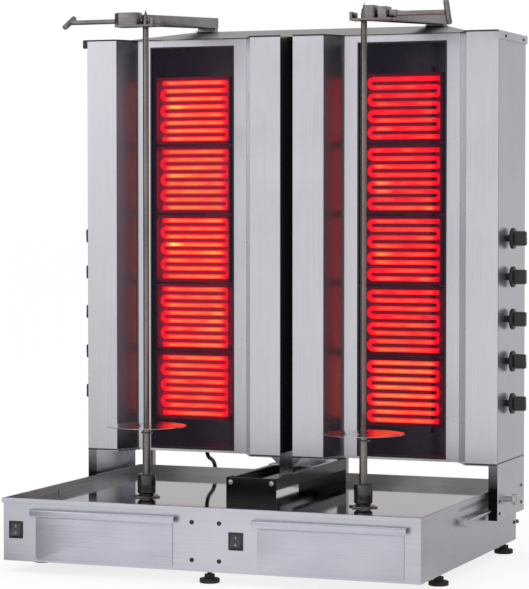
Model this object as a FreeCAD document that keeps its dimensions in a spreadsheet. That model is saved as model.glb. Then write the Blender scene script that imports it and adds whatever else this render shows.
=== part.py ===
import FreeCAD, Part
import math
import os
import Sketcher

# Double electric kebab grill. X runs across the front, Y from the front to the back, Z up.
# The floor under the feet is Z = 0. All sizes are in millimetres.
SIZES = [
    # base
    ("base_inset", 22.35),
    ("base_depth", 672),
    ("base_height", 127),
    ("foot_height", 24),
    ("base_wall", 1.5),
    ("rim_height", 9),
    ("rim_front", 5),
    ("rim_side", 2),
    ("tray_drop", 18.5),
    ("tray_sheet", 1.5),
    ("bottom_sheet", 1.5),
    ("seat_gap", 0.3),
    ("fit_gap", 0.05),
    # drain slots in the tray
    ("drain_length", 60),
    ("drain_width", 6),
    ("drain_pitch", 80),
    ("drain_back", 40),
    ("drain_count", 3),
    # drawers
    ("drawer_shift", 19.8),
    ("drawer_width", 300),
    ("drawer_drop", 19),
    ("drawer_lift", 4),
    ("drawer_sheet", 1.5),
    ("drawer_overlap", 6),
    ("drawer_depth", 175),
    ("drawer_side", 78),
    ("handle_wide", 315),
    ("handle_tall", 15),
    ("handle_reach", 15),
    ("runner_tall", 3),
    ("runner_wide", 12),
    # switches
    ("switch_shift", 175.1),
    ("switch_drop", 64),
    ("bezel_wide", 30.3),
    ("bezel_tall", 35),
    ("bezel_proud", 2),
    ("rocker_wide", 22),
    ("rocker_tall", 26),
    ("switch_deep", 24),
    ("rocker_tilt", 8),
    ("rocker_end_proud", 4.8),
    ("rocker_dip_proud", 3.2),
    ("rocker_pin", 1.5),
    ("rocker_pin_long", 1.2),
    # screws in the front panel
    ("panel_screw_spread", 58),
    ("screw_low_rise", 22),
    ("screw_high_drop", 30.5),
    ("screw_head", 4.5),
    ("screw_shank", 2),
    ("screw_head_tall", 2.5),
    # feet
    ("foot_side_inset", 12.5),
    ("foot_front", 153),
    ("foot_back_inset", 52),
    ("foot_middle", 22),
    ("foot_disc", 20),
    ("foot_disc_tall", 9),
    ("foot_hub", 11),
    ("foot_stud", 5),
    ("foot_stud_rise", 16),
    # side windows, scales and guide rods
    ("window_front", 252),
    ("window_back_inset", 62),
    ("window_drop", 12),
    ("window_tall", 31),
    ("scale_sheet", 1.5),
    ("scale_edge", 3),
    ("tick_width", 1.5),
    ("tick_tall", 6),
    ("tick_pitch", 15),
    ("tick_first", 300),
    ("tick_count", 8),
    ("rod_radius", 4),
    ("rod_out", 9.5),
    ("rod_rise", 4),
    ("rod_overhang", 15),
    ("rod_end", 1.5),
    ("tab_front", 247),
    ("tab_back_inset", 10),
    ("tab_sheet", 3),
    ("tab_reach", 16),
    ("tab_half", 9),
    ("nut_flat", 6.5),
    ("nut_thick", 7),
    # centre rail
    ("rail_half", 55),
    ("rail_front", 243),
    ("rail_rise", 50.5),
    ("rail_bar", 24),
    ("rail_flange", 12),
    ("rail_sheet", 2),
    ("rail_screw", 5),
    # rear frame
    ("post_inset", 7),
    ("post_wide", 24),
    ("post_deep", 16),
    ("post_rise", 16),
    ("inner_post_wide", 22),
    ("beam_tall", 20),
    ("beam_gap", 21),
    # roof
    ("roof_inset", 45.5),
    ("ridge_inset", 107),
    ("roof_setback", 44),
    ("roof_overhang", 31),
    ("ridge_setback", 155),
    ("ridge_overhang", 20),
    ("roof_gap", 1),
    ("roof_rise", 26),
    ("roof_sheet", 1.5),
    # connection box and gland
    ("pod_left", 300),
    ("pod_right", 230),
    ("pod_rise", 36),
    ("pod_tall", 58),
    ("pod_reach", 31),
    ("gland_side", 265),
    ("gland_setback", 20),
    ("gland_radius", 9),
    ("gland_tall", 16),
    ("gland_thread", 7),
    ("gland_dome", 8),
    ("cable_radius", 4.5),
    # spits
    ("spit_spread", 479),
    ("spit_back", 254),
    ("spit_radius", 6.25),
    ("shoulder_rise", 4.4),
    ("tip_tall", 18),
    ("socket_radius", 19),
    ("socket_low_rise", 6.5),
    ("socket_tall", 48.5),
    ("socket_neck", 15),
    ("socket_floor_rise", 17.5),
    ("shaft_radius", 8),
    ("shaft_gap", 1),
    ("shaft_depth", 37.5),
    ("star_outer", 31),
    ("star_inner", 21),
    ("star_thick", 3),
    ("star_points", 6),
    ("sleeve_radius", 8.2),
    ("sleeve_tall", 97),
    ("clip_rise", 85),
    ("clip_radius", 13),
    ("clip_thick", 3),
    ("disc_radius", 84),
    ("disc_sheet", 1.5),
    ("disc_hub", 14),
    ("disc_hub_tall", 2.5),
    # motors under the tray
    ("gearbox_half", 40),
    ("gearbox_tall", 57),
    ("motor_radius", 32),
    ("motor_tall", 42),
    # heater columns
    ("column_gap", 28.3),
    ("column_back_inset", 18),
    ("column_depth", 208),
    ("column_clear", 57.5),
    ("column_height", 891.5),
    ("column_sheet", 1.5),
    ("front_panel", 69.1),
    ("bevel_wide", 29),
    ("bevel_deep", 52.5),
    ("frame_strip", 28.6),
    ("band_height", 13),
    ("glass_thick", 4),
    ("glass_overlap", 8),
    ("board_overlap", 9.35),
    ("board_deep", 36),
    ("board_recess", 14),
    ("board_gap", 4),
    ("zone_pitch", 150),
    ("zone_first_rise", 138.5),
    ("zone_count", 5),
    ("element_margin", 20.65),
    ("element_pitch", 17.4),
    ("element_bar", 8),
    ("element_thick", 3),
    ("element_bars", 8),
    ("cap_flange", 17),
    ("cap_reach", 4),
    # carriage under each column
    ("carriage_lip", 5),
    ("carriage_inset", 1.5),
    ("leg_drop", 20.7),
    ("leg_gap", 3.5),
    ("inner_leg_drop", 17),
    ("gusset_wide", 19),
    ("gusset_tall", 21.5),
    ("shoe_thick", 3),
    ("shoe_setback", 34),
    ("shoe_long", 140),
    # thumb bolts
    ("bolt_setback", 73),
    ("bolt_rise", 17),
    ("bolt_radius", 4),
    ("bolt_standoff", 1.5),
    ("bolt_collar", 6),
    ("bolt_neck", 12),
    ("bolt_head", 11.5),
    ("bolt_head_thick", 8),
    # knobs and regulators
    ("knob_setback", 78),
    ("knob_low_rise", 120.5),
    ("knob_pitch", 88),
    ("knob_top_pitch", 80),
    ("knob_even_count", 4),
    ("knob_skirt", 22),
    ("knob_stand", 7),
    ("knob_skirt_thick", 5),
    ("knob_hub", 14.5),
    ("knob_rise", 38.5),
    ("knob_grip", 16.4),
    ("knob_grip_half", 15.2),
    ("knob_stem", 3),
    ("regulator_half", 22),
    ("regulator_deep", 38),
    # top holders
    ("head_lift", 11.7),
    ("head_plate_thick", 4.3),
    ("plate_inner_out", -24.5),
    ("plate_outer_out", 60.5),
    ("head_ahead", 20),
    ("head_behind", 16),
    ("hook_wide", 14),
    ("hook_tall", 13),
    ("block_inner_out", 7.5),
    ("block_outer_out", 29.1),
    ("block_tall", 25.5),
    ("jaw_inner_out", 35.5),
    ("jaw_outer_out", 53.5),
    ("arm_inner_out", 4.5),
    ("arm_outer_out", 50.5),
    ("arm_front_tall", 13),
    ("arm_sheet", 2),
    ("arm_tail", 6),
    ("arm_rear_drop", 10.5),
    ("arm_rear_tall", 22),
    ("pivot_setback", 10),
    ("pivot_lift", 15),
    ("pin_radius", 4),
    ("lug_radius", 8.4),
    ("lug_flange", 19),
    ("lug_flange_thick", 2),
    ("rod_slack_front", 2),
    ("rod_slack_back", 3),
    ("clamp_lift", 8.6),
    ("clamp_radius", 5),
    ("clamp_collar", 8),
    ("clamp_collar_long", 16),
    ("clamp_end_out", 170),
    ("tee_radius", 6),
    ("tee_long", 62),
]


class Size:
    """A number and the sheet formula that gives it."""

    def __init__(self, value, text):
        self.value = value
        self.text = text

    def __add__(self, other):
        other = as_size(other)
        return Size(self.value + other.value, f"({self.text} + {other.text})")

    def __radd__(self, other):
        return as_size(other) + self

    def __sub__(self, other):
        other = as_size(other)
        return Size(self.value - other.value, f"({self.text} - {other.text})")

    def __rsub__(self, other):
        return as_size(other) - self

    def __mul__(self, other):
        other = as_size(other)
        return Size(self.value * other.value, f"({self.text} * {other.text})")

    def __rmul__(self, other):
        return as_size(other) * self

    def __truediv__(self, other):
        other = as_size(other)
        return Size(self.value / other.value, f"({self.text} / {other.text})")

    def __neg__(self):
        return Size(-self.value, f"(-1 * {self.text})")

    def root(self):
        return Size(math.sqrt(self.value), f"sqrt({self.text})")


def as_size(number):
    if isinstance(number, Size):
        return number
    return Size(float(number), f"({float(number)})")


class Sizes:
    """The sheet's cells as Size values, one attribute for each alias."""

    def __init__(self, sheet, rows):
        for row, (alias, value) in enumerate(rows, start=1):
            sheet.set(f"A{row}", alias.replace("_", " "))
            sheet.set(f"B{row}", str(value))
            sheet.setAlias(f"B{row}", alias)
            setattr(self, alias, Size(float(value), f"Sizes.{alias}"))


doc = FreeCAD.newDocument("kebab_grill")
s = Sizes(doc.addObject("Spreadsheet::Sheet", "Sizes"), SIZES)
doc.recompute()

SIDES = {"left": -1, "right": 1}
PLANES = {"XY": ("XY_Plane", 1), "XZ": ("XZ_Plane", -1), "YZ": ("YZ_Plane", 1)}
finished = []


# Bodies, sketches and their features

def place(thing, x, y, z, turn=None):
    if turn is not None:
        thing.Placement = FreeCAD.Placement(FreeCAD.Vector(), turn)
    for axis, size in zip("xyz", (x, y, z)):
        thing.setExpression("Placement.Base." + axis, as_size(size).text)


def new_body(label, x=0, y=None, z=0, turn=None):
    body = doc.addObject("PartDesign::Body", label)
    body.Label = label
    body.AllowCompound = True
    place(body, x, s.front_face if y is None else y, z, turn)
    finished.append(body)
    return body


def new_sketch(body, plane, level):
    role, sign = PLANES[plane]
    sketch = body.newObject("Sketcher::SketchObject", body.Name + "_sketch")
    support = [part for part in body.Origin.OriginFeatures if part.Role == role][0]
    sketch.AttachmentSupport = [(support, "")]
    sketch.MapMode = "FlatFace"
    sketch.setExpression("AttachmentOffset.Base.z", (sign * as_size(level)).text)
    return sketch


def pin_point(sketch, line, end, x, y):
    for kind, size in (("DistanceX", as_size(x)), ("DistanceY", as_size(y))):
        if size.value >= 0:
            rule = Sketcher.Constraint(kind, -1, 1, line, end, size.value)
        else:
            size = -size
            rule = Sketcher.Constraint(kind, line, end, -1, 1, size.value)
        index = sketch.addConstraint(rule)
        sketch.setExpression(f"Constraints[{index}]", size.text)


def draw_outline(sketch, points):
    corners = [FreeCAD.Vector(as_size(x).value, as_size(y).value, 0) for x, y in points]
    count = len(corners)
    lines = []
    for i in range(count):
        line = Part.LineSegment(corners[i], corners[(i + 1) % count])
        lines.append(sketch.addGeometry(line, False))
    for i in range(count):
        joined = Sketcher.Constraint("Coincident", lines[i], 2, lines[(i + 1) % count], 1)
        sketch.addConstraint(joined)
    for line, (x, y) in zip(lines, points):
        pin_point(sketch, line, 1, x, y)


def draw_circle(sketch, x, y, radius):
    radius = as_size(radius)
    centre = FreeCAD.Vector(as_size(x).value, as_size(y).value, 0)
    circle = Part.Circle(centre, FreeCAD.Vector(0, 0, 1), radius.value)
    index = sketch.addGeometry(circle, False)
    pin_point(sketch, index, 3, x, y)
    rule = sketch.addConstraint(Sketcher.Constraint("Radius", index, radius.value))
    sketch.setExpression(f"Constraints[{rule}]", radius.text)


def rect(x0, y0, x1, y1):
    return [(x0, y0), (x1, y0), (x1, y1), (x0, y1)]


def draw(sketch, outlines, circles):
    for points in outlines:
        draw_outline(sketch, points)
    for x, y, radius in circles:
        draw_circle(sketch, x, y, radius)


def in_order(start, end):
    start = as_size(start)
    end = as_size(end)
    return (start, end) if start.value <= end.value else (end, start)


def add(body, plane, start, end, outlines=(), circles=()):
    """Material between two levels of a plane."""
    start, end = in_order(start, end)
    sketch = new_sketch(body, plane, start)
    draw(sketch, outlines, circles)
    pad = body.newObject("PartDesign::Pad", body.Name + "_pad")
    pad.Profile = sketch
    pad.Reversed = PLANES[plane][1] < 0
    pad.setExpression("Length", (end - start).text)
    return pad


def remove(body, plane, start, end, outlines=(), circles=()):
    """A cut between two levels of a plane."""
    start, end = in_order(start, end)
    sketch = new_sketch(body, plane, start)
    draw(sketch, outlines, circles)
    pocket = body.newObject("PartDesign::Pocket", body.Name + "_pocket")
    pocket.Profile = sketch
    pocket.Reversed = PLANES[plane][1] > 0
    pocket.setExpression("Length", (end - start).text)
    return pocket


def turn_profile(body, points):
    """A turned piece about the body's own Z axis."""
    sketch = new_sketch(body, "XZ", 0)
    draw_outline(sketch, points)
    turned = body.newObject("PartDesign::Revolution", body.Name + "_turned")
    turned.Profile = sketch
    turned.ReferenceAxis = (sketch, ["V_Axis"])
    turned.Angle = 360
    return turned


def repeat(body, feature, plane, axis, pitch, count):
    pattern = body.newObject("PartDesign::LinearPattern", body.Name + "_row")
    pattern.Originals = [feature]
    pattern.Direction = (feature.Profile[0], [axis])
    pattern.setExpression("Length", (pitch * (count - 1)).text)
    pattern.setExpression("Occurrences", count.text)
    body.Tip = pattern
    return pattern


def hexagon(x, y, flat):
    corner = flat / as_size(math.cos(math.pi / 6))
    points = []
    for step in range(6):
        angle = math.pi / 3 * step
        points.append((x + corner * math.cos(angle), y + corner * math.sin(angle)))
    return points


# Levels and places that follow from the sizes

SPIT_OUT = s.spit_spread / 2
COLUMN_HALF = (s.spit_spread - s.column_gap) / 2
BASE_HALF = SPIT_OUT + COLUMN_HALF - s.base_inset
BASE_TOP = s.foot_height + s.base_height
TRAY_TOP = BASE_TOP - s.tray_drop
TRAY_UNDER = TRAY_TOP - s.tray_sheet
COLUMN_BACK = s.base_depth - s.column_back_inset
FRAME_FRONT = s.base_depth + s.rim_side
FRAME_BACK = FRAME_FRONT + s.post_deep
DRAWER_LOW = s.foot_height + s.drawer_lift
DRAWER_TOP = BASE_TOP - s.drawer_drop
RUNNER_TOP = s.foot_height + s.bottom_sheet + s.runner_tall
SOCKET_HOLE = s.shaft_radius + s.shaft_gap

# Base
s.front_face = -(s.base_depth + s.roof_overhang - s.handle_reach) / 2
s.switch_height = BASE_TOP - s.switch_drop
s.panel_screw_low = s.foot_height + s.screw_low_rise
s.panel_screw_high = BASE_TOP - s.screw_high_drop
s.foot_side = BASE_HALF - s.foot_side_inset
s.foot_back = s.base_depth - s.foot_back_inset
s.window_back = s.base_depth - s.window_back_inset
s.window_high = BASE_TOP - s.window_drop
s.window_low = s.window_high - s.window_tall
s.rod_side = BASE_HALF + s.rod_out
s.rod_height = s.window_low + s.rod_rise
s.rod_front = s.tab_front - s.rod_overhang
s.rod_back = s.base_depth + s.rod_end
s.tab_back = s.base_depth - s.tab_back_inset
s.rail_top = TRAY_TOP + s.rail_rise
s.pod_low = s.foot_height + s.pod_rise
s.gland_back = s.base_depth + s.gland_setback
s.gearbox_low = TRAY_UNDER - s.gearbox_tall
s.motor_low = s.gearbox_low - s.motor_tall

# Columns
s.column_front = COLUMN_BACK - s.column_depth
s.column_bottom = BASE_TOP + s.column_clear
s.column_top = s.column_bottom + s.column_height
SHELL_TOP = s.column_top - s.column_sheet
GLASS_FRONT = s.column_front + s.bevel_deep + s.column_sheet
GLASS_BACK = GLASS_FRONT + s.glass_thick
GLASS_HALF = COLUMN_HALF - s.front_panel - s.bevel_wide - s.frame_strip
s.board_half = GLASS_HALF + s.board_overlap
s.element_half = GLASS_HALF - s.element_margin
s.zone_first = s.column_bottom + s.zone_first_rise
s.leg_bottom = s.rod_height - s.leg_drop
s.leg_inner = BASE_HALF + s.leg_gap
s.inner_leg_bottom = s.rail_top - s.inner_leg_drop
s.gusset_low = s.column_bottom - s.gusset_tall
s.shoe_front = s.column_front + s.shoe_setback
s.shoe_back = s.shoe_front + s.shoe_long
s.bolt_back = s.column_front + s.bolt_setback
s.bolt_height = s.rod_height + s.bolt_rise
s.knob_back = s.column_front + s.knob_setback
s.knob_low = s.column_bottom + s.knob_low_rise

# Rear frame and roof
s.post_outer = BASE_HALF - s.post_inset
s.post_bottom = s.foot_height + s.post_rise
s.roof_half = BASE_HALF - s.roof_inset
s.roof_ridge_half = s.roof_half - s.ridge_inset
s.roof_front = s.column_front + s.roof_setback
s.roof_back = s.base_depth + s.roof_overhang
s.ridge_front = s.roof_front + s.ridge_setback
s.ridge_back = s.base_depth + s.ridge_overhang
s.roof_bottom = s.column_top + s.roof_gap

# Holders
s.head_plate_low = s.column_top + s.head_lift
s.head_plate_inner = SPIT_OUT + s.plate_inner_out
s.head_plate_outer = SPIT_OUT + s.plate_outer_out
s.head_front = s.spit_back - s.head_ahead
s.head_back = s.spit_back + s.head_behind
HEAD_TOP = s.head_plate_low + s.head_plate_thick
s.hook_outer = s.head_plate_inner + s.hook_wide
s.hook_top = HEAD_TOP + s.hook_tall
s.block_inner = SPIT_OUT + s.block_inner_out
s.block_outer = SPIT_OUT + s.block_outer_out
s.block_top = HEAD_TOP + s.block_tall
s.jaw_inner = SPIT_OUT + s.jaw_inner_out
s.jaw_outer = SPIT_OUT + s.jaw_outer_out
s.arm_inner = SPIT_OUT + s.arm_inner_out
s.arm_outer = SPIT_OUT + s.arm_outer_out
s.pivot_back = s.ridge_front + s.pivot_setback
s.pivot_height = s.roof_bottom + s.roof_rise + s.pivot_lift
s.arm_end = s.pivot_back + s.arm_tail
s.arm_rear_low = s.pivot_height - s.arm_rear_drop
s.clamp_height = HEAD_TOP + s.clamp_lift
s.clamp_end = SPIT_OUT + s.clamp_end_out

# Spit heights
s.socket_low = TRAY_TOP + s.socket_low_rise
s.socket_high = TRAY_TOP + s.socket_tall
s.socket_floor = TRAY_TOP + s.socket_floor_rise
s.shaft_bottom = TRAY_TOP - s.shaft_depth
s.spit_bottom = s.socket_floor + s.seat_gap
s.clip_height = s.socket_high + s.clip_rise
s.sleeve_top = s.socket_high + s.sleeve_tall
s.spit_shoulder = s.clamp_height + s.shoulder_rise
s.spit_tip = s.spit_shoulder + s.tip_tall


def spit_x(side):
    return side * SPIT_OUT


def drawer_x(side):
    return spit_x(side) + s.drawer_shift


def switch_x(side):
    return spit_x(side) - s.switch_shift


# The base

def make_chassis():
    body = new_body("base_chassis")
    wall = s.base_wall
    add(body, "XY", s.foot_height, BASE_TOP, [rect(-BASE_HALF, 0, BASE_HALF, s.base_depth)])
    side = BASE_HALF + s.rim_side
    rim = rect(-side, -s.rim_front, side, s.base_depth + s.rim_side)
    add(body, "XY", BASE_TOP - s.rim_height, BASE_TOP, [rim])
    pod = rect(-s.pod_left, s.base_depth - wall, -s.pod_right, s.base_depth + s.pod_reach)
    add(body, "XY", s.pod_low, s.pod_low + s.pod_tall, [pod])
    hollow = rect(-BASE_HALF + wall, wall, BASE_HALF - wall, s.base_depth - wall)
    remove(body, "XY", s.foot_height, BASE_TOP, [hollow])
    pod_hollow = rect(
        -s.pod_left + wall, s.base_depth - 2 * wall,
        -s.pod_right - wall, s.base_depth + s.pod_reach - wall,
    )
    remove(body, "XY", s.pod_low + wall, s.pod_low + s.pod_tall - wall, [pod_hollow])
    gland_hole = (-s.gland_side, s.gland_back, s.gland_thread)
    remove(body, "XY", s.pod_low + s.pod_tall - 2 * wall, s.pod_low + s.pod_tall, circles=[gland_hole])
    cut_front_openings(body)
    cut_side_windows(body)
    for side in SIDES.values():
        add_scale_plate(body, side)
        add_rod_tabs(body, side)


def cut_front_openings(body):
    outlines = []
    holes = []
    for side in SIDES.values():
        half = s.drawer_width / 2 - s.drawer_overlap
        centre = drawer_x(side)
        top = DRAWER_TOP - s.drawer_overlap
        outlines.append(rect(centre - half, RUNNER_TOP, centre + half, top))
        wide = s.bezel_wide / 2 - s.bezel_proud
        tall = s.bezel_tall / 2 - s.bezel_proud
        middle = switch_x(side)
        low = s.switch_height - tall
        outlines.append(rect(middle - wide, low, middle + wide, s.switch_height + tall))
        for height in (s.panel_screw_low, s.panel_screw_high):
            holes.append((side * s.panel_screw_spread / 2, height, s.screw_shank))
    remove(body, "XZ", -s.base_wall, 2 * s.base_wall, outlines, holes)


def cut_side_windows(body):
    window = rect(s.window_front, s.window_low, s.window_back, s.window_high)
    remove(body, "YZ", -BASE_HALF - s.base_wall, BASE_HALF + s.base_wall, [window])


def add_scale_plate(body, side):
    inner = side * (BASE_HALF - s.base_wall - s.scale_sheet)
    outer = side * (BASE_HALF - s.base_wall)
    edge = s.scale_edge
    plate = rect(
        s.window_front - edge, s.window_low - edge, s.window_back + edge, s.window_high + edge
    )
    add(body, "YZ", inner, outer, [plate])
    tick = rect(
        s.tick_first, s.window_high - s.tick_tall - edge,
        s.tick_first + s.tick_width, s.window_high - edge,
    )
    cut = remove(body, "YZ", inner, outer, [tick])
    repeat(body, cut, "YZ", "H_Axis", s.tick_pitch, s.tick_count)


def add_rod_tabs(body, side):
    inner = side * BASE_HALF
    outer = side * (BASE_HALF + s.tab_reach)
    hole = (side * s.rod_side, s.rod_height, s.rod_radius + s.fit_gap)
    for start in (s.tab_front, s.tab_back):
        low = s.rod_height - s.tab_half
        high = s.rod_height + s.tab_half
        tab = rect(inner, low, outer, high)
        add(body, "XZ", start, start + s.tab_sheet, [tab], [hole])


def make_bottom():
    body = new_body("base_bottom")
    half = BASE_HALF - s.base_wall
    top = s.foot_height + s.bottom_sheet
    plate = rect(-half, s.base_wall, half, s.base_depth - s.base_wall)
    studs = [(x, y, s.foot_stud) for x, y in foot_places()]
    add(body, "XY", s.foot_height, top, [plate], studs)
    runners = []
    for side in SIDES.values():
        reach = s.drawer_width / 2 - s.drawer_overlap - s.runner_wide
        for edge in (-1, 1):
            inner = drawer_x(side) + edge * (reach - s.runner_wide)
            outer = drawer_x(side) + edge * reach
            runners.append(rect(inner, 4 * s.base_wall, outer, s.drawer_depth))
    add(body, "XY", top, RUNNER_TOP, runners)


def foot_places():
    places = [(0, s.foot_middle), (0, s.base_depth - s.foot_middle)]
    for side in SIDES.values():
        places.append((side * s.foot_side, s.foot_front))
        places.append((side * s.foot_side, s.foot_back))
    return places


def make_feet():
    body = new_body("levelling_feet")
    disc = [(x, y, s.foot_disc) for x, y in foot_places()]
    hub = [(x, y, s.foot_hub) for x, y in foot_places()]
    stud = [(x, y, s.foot_stud - s.fit_gap) for x, y in foot_places()]
    add(body, "XY", 0, s.foot_disc_tall, circles=disc)
    add(body, "XY", s.foot_disc_tall, s.foot_height, circles=hub)
    add(body, "XY", s.foot_height, s.foot_height + s.foot_stud_rise, circles=stud)


def make_tray():
    body = new_body("drip_tray")
    half = BASE_HALF - s.base_wall - s.scale_sheet
    plate = rect(-half, s.base_wall, half, s.base_depth - s.base_wall)
    holes = [(spit_x(side), s.spit_back, SOCKET_HOLE) for side in SIDES.values()]
    add(body, "XY", TRAY_UNDER, TRAY_TOP, [plate], holes)
    for side in SIDES.values():
        row = s.drain_pitch * (s.drain_count - 1) + s.drain_length
        first = drawer_x(side) - row / 2
        slot = rect(first, s.drain_back, first + s.drain_length, s.drain_back + s.drain_width)
        cut = remove(body, "XY", TRAY_UNDER, TRAY_TOP, [slot])
        repeat(body, cut, "XY", "H_Axis", s.drain_pitch, s.drain_count)


def make_rail():
    body = new_body("centre_rail")
    half = s.rail_half
    back = s.base_depth - s.base_wall
    sheet = s.rail_sheet
    high = s.rail_top
    holes = []
    for side in SIDES.values():
        holes.append((side * (half - 2 * s.rail_screw), high - 2 * s.rail_screw, s.screw_shank))
    front = rect(-half, TRAY_TOP, half, high)
    add(body, "XZ", s.rail_front, s.rail_front + sheet, [front], holes)
    add(body, "XZ", back - sheet, back, [front])
    bars = []
    for side in SIDES.values():
        outer = side * half
        bars.append([
            (outer, high - s.rail_bar),
            (outer, high),
            (outer - side * s.rail_flange, high),
            (outer - side * s.rail_flange, high - sheet),
            (outer - side * sheet, high - sheet),
            (outer - side * sheet, high - s.rail_bar),
        ])
    add(body, "XZ", s.rail_front, FRAME_FRONT, bars)


def make_rear_frame():
    body = new_body("rear_frame")
    top = s.roof_bottom
    posts = []
    for side in SIDES.values():
        outer = side * s.post_outer
        posts.append(rect(outer, s.post_bottom, outer - side * s.post_wide, top - s.beam_gap))
        inner = side * s.rail_half
        posts.append(rect(inner, s.post_bottom, inner - side * s.inner_post_wide, top - s.beam_gap))
    add(body, "XZ", FRAME_FRONT, FRAME_BACK, posts)
    low = top - s.beam_gap - s.beam_tall
    beam = rect(-s.post_outer, low, s.post_outer, top - s.beam_gap)
    add(body, "XZ", FRAME_FRONT, FRAME_BACK, [beam])
    reach = s.roof_ridge_half - 4 * s.roof_sheet
    ridge = top + s.roof_rise - s.roof_sheet
    riser = rect(-reach, top - s.beam_gap, reach, ridge)
    add(body, "XZ", FRAME_FRONT, FRAME_BACK - 2 * s.roof_sheet, [riser])


def roof_solid(label, inset, drop):
    body = doc.addObject("PartDesign::Body", label)
    place(body, 0, s.front_face, 0)
    lower = new_sketch(body, "XY", s.roof_bottom)
    half = s.roof_half - inset
    draw_outline(lower, rect(-half, s.roof_front + inset, half, s.roof_back - inset))
    upper = new_sketch(body, "XY", s.roof_bottom + s.roof_rise - drop)
    half = s.roof_ridge_half - inset
    draw_outline(upper, rect(-half, s.ridge_front + inset, half, s.ridge_back - inset))
    loft = body.newObject("PartDesign::AdditiveLoft", label + "_loft")
    loft.Profile = lower
    loft.Sections = [upper]
    loft.Ruled = True
    return body


def make_roof():
    outer = roof_solid("roof_outside", as_size(0), as_size(0))
    inner = roof_solid("roof_inside", s.roof_sheet, s.roof_sheet)
    roof = doc.addObject("Part::Cut", "roof_cover")
    roof.Label = "roof_cover"
    roof.Base = outer
    roof.Tool = inner
    finished.append(roof)


def make_guide_rods():
    body = new_body("guide_rods")
    rods = [(side * s.rod_side, s.rod_height, s.rod_radius) for side in SIDES.values()]
    add(body, "XZ", s.rod_front, s.rod_back, circles=rods)


def make_rod_nuts():
    body = new_body("rod_nuts")
    for tab in (s.tab_front, s.tab_back):
        for start in (tab - s.nut_thick, tab + s.tab_sheet):
            for side in SIDES.values():
                x = side * s.rod_side
                nut = hexagon(x, s.rod_height, s.nut_flat)
                hole = (x, s.rod_height, s.rod_radius + s.fit_gap)
                add(body, "XZ", start, start + s.nut_thick, [nut], [hole])


def make_motors():
    body = new_body("spit_motors")
    boxes = []
    cans = []
    bores = []
    for side in SIDES.values():
        x = spit_x(side)
        y = s.spit_back
        half = s.gearbox_half
        boxes.append(rect(x - half, y - half, x + half, y + half))
        cans.append((x, y, s.motor_radius))
        bores.append((x, y, s.shaft_radius + s.fit_gap))
    add(body, "XY", s.gearbox_low, TRAY_UNDER, boxes)
    add(body, "XY", s.motor_low, s.gearbox_low, circles=cans)
    remove(body, "XY", s.shaft_bottom - s.seat_gap, TRAY_UNDER, circles=bores)


def make_switch_bodies():
    body = new_body("switch_bodies")
    rings = []
    blocks = []
    wells = []
    for side in SIDES.values():
        x = switch_x(side)
        z = s.switch_height
        wide = s.bezel_wide / 2
        tall = s.bezel_tall / 2
        rings.append(rect(x - wide, z - tall, x + wide, z + tall))
        wide = wide - s.bezel_proud
        tall = tall - s.bezel_proud
        blocks.append(rect(x - wide, z - tall, x + wide, z + tall))
        wide = s.rocker_wide / 2 + s.seat_gap
        tall = s.rocker_tall / 2 + 4 * s.seat_gap
        wells.append(rect(x - wide, z - tall, x + wide, z + tall))
    add(body, "XZ", -s.bezel_proud, 0, rings)
    add(body, "XZ", 0, s.switch_deep, blocks)
    remove(body, "XZ", -s.bezel_proud, s.switch_deep / 2, wells)
    reach = s.rocker_wide / 2 + s.rocker_pin_long + s.seat_gap
    pin_hole = (s.bezel_proud, s.switch_height, s.rocker_pin + s.fit_gap)
    for side in SIDES.values():
        remove(body, "YZ", switch_x(side) - reach, switch_x(side) + reach, circles=[pin_hole])


def make_rocker(name, side):
    tilt = FreeCAD.Rotation(FreeCAD.Vector(1, 0, 0), -s.rocker_tilt.value)
    back = s.front_face + s.bezel_proud
    body = new_body("rocker_" + name, switch_x(side), back, s.switch_height, tilt)
    half = s.rocker_tall / 2
    profile = [
        (-s.rocker_end_proud, half), (-s.rocker_dip_proud, 0), (-s.rocker_end_proud, -half),
        (s.bezel_proud, -half), (s.bezel_proud, half),
    ]
    add(body, "YZ", -s.rocker_wide / 2, s.rocker_wide / 2, [profile])
    reach = s.rocker_wide / 2 + s.rocker_pin_long
    add(body, "YZ", -reach, reach, circles=[(0, 0, s.rocker_pin)])


def make_panel_screws():
    body = new_body("panel_screws")
    heads = []
    shanks = []
    for side in SIDES.values():
        for height in (s.panel_screw_low, s.panel_screw_high):
            x = side * s.panel_screw_spread / 2
            heads.append((x, height, s.screw_head))
            shanks.append((x, height, s.screw_shank - s.fit_gap))
    add(body, "XZ", -s.screw_head_tall, 0, circles=heads)
    add(body, "XZ", 0, 4 * s.screw_head_tall, circles=shanks)


def make_gland():
    body = new_body("cable_gland")
    top = s.pod_low + s.pod_tall
    nut = hexagon(-s.gland_side, s.gland_back, s.gland_radius)
    hole = (-s.gland_side, s.gland_back, s.cable_radius + s.fit_gap)
    add(body, "XY", top, top + s.gland_tall / 2, [nut], [hole])
    dome = (-s.gland_side, s.gland_back, s.gland_dome)
    add(body, "XY", top + s.gland_tall / 2, top + s.gland_tall, circles=[dome, hole])
    thread = (-s.gland_side, s.gland_back, s.gland_thread - s.fit_gap)
    add(body, "XY", top - 4 * s.base_wall, top, circles=[thread, hole])


def make_stars():
    body = new_body("socket_stars")
    stars = []
    holes = []
    for side in SIDES.values():
        points = []
        corners = 2 * int(s.star_points.value)
        for step in range(corners):
            angle = 2 * math.pi / corners * step
            reach = s.star_outer if step % 2 == 0 else s.star_inner
            x = spit_x(side) + reach * math.cos(angle)
            points.append((x, s.spit_back + reach * math.sin(angle)))
        stars.append(points)
        holes.append((spit_x(side), s.spit_back, SOCKET_HOLE))
    add(body, "XY", TRAY_TOP, TRAY_TOP + s.star_thick, stars, holes)


# Drawers

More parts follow.
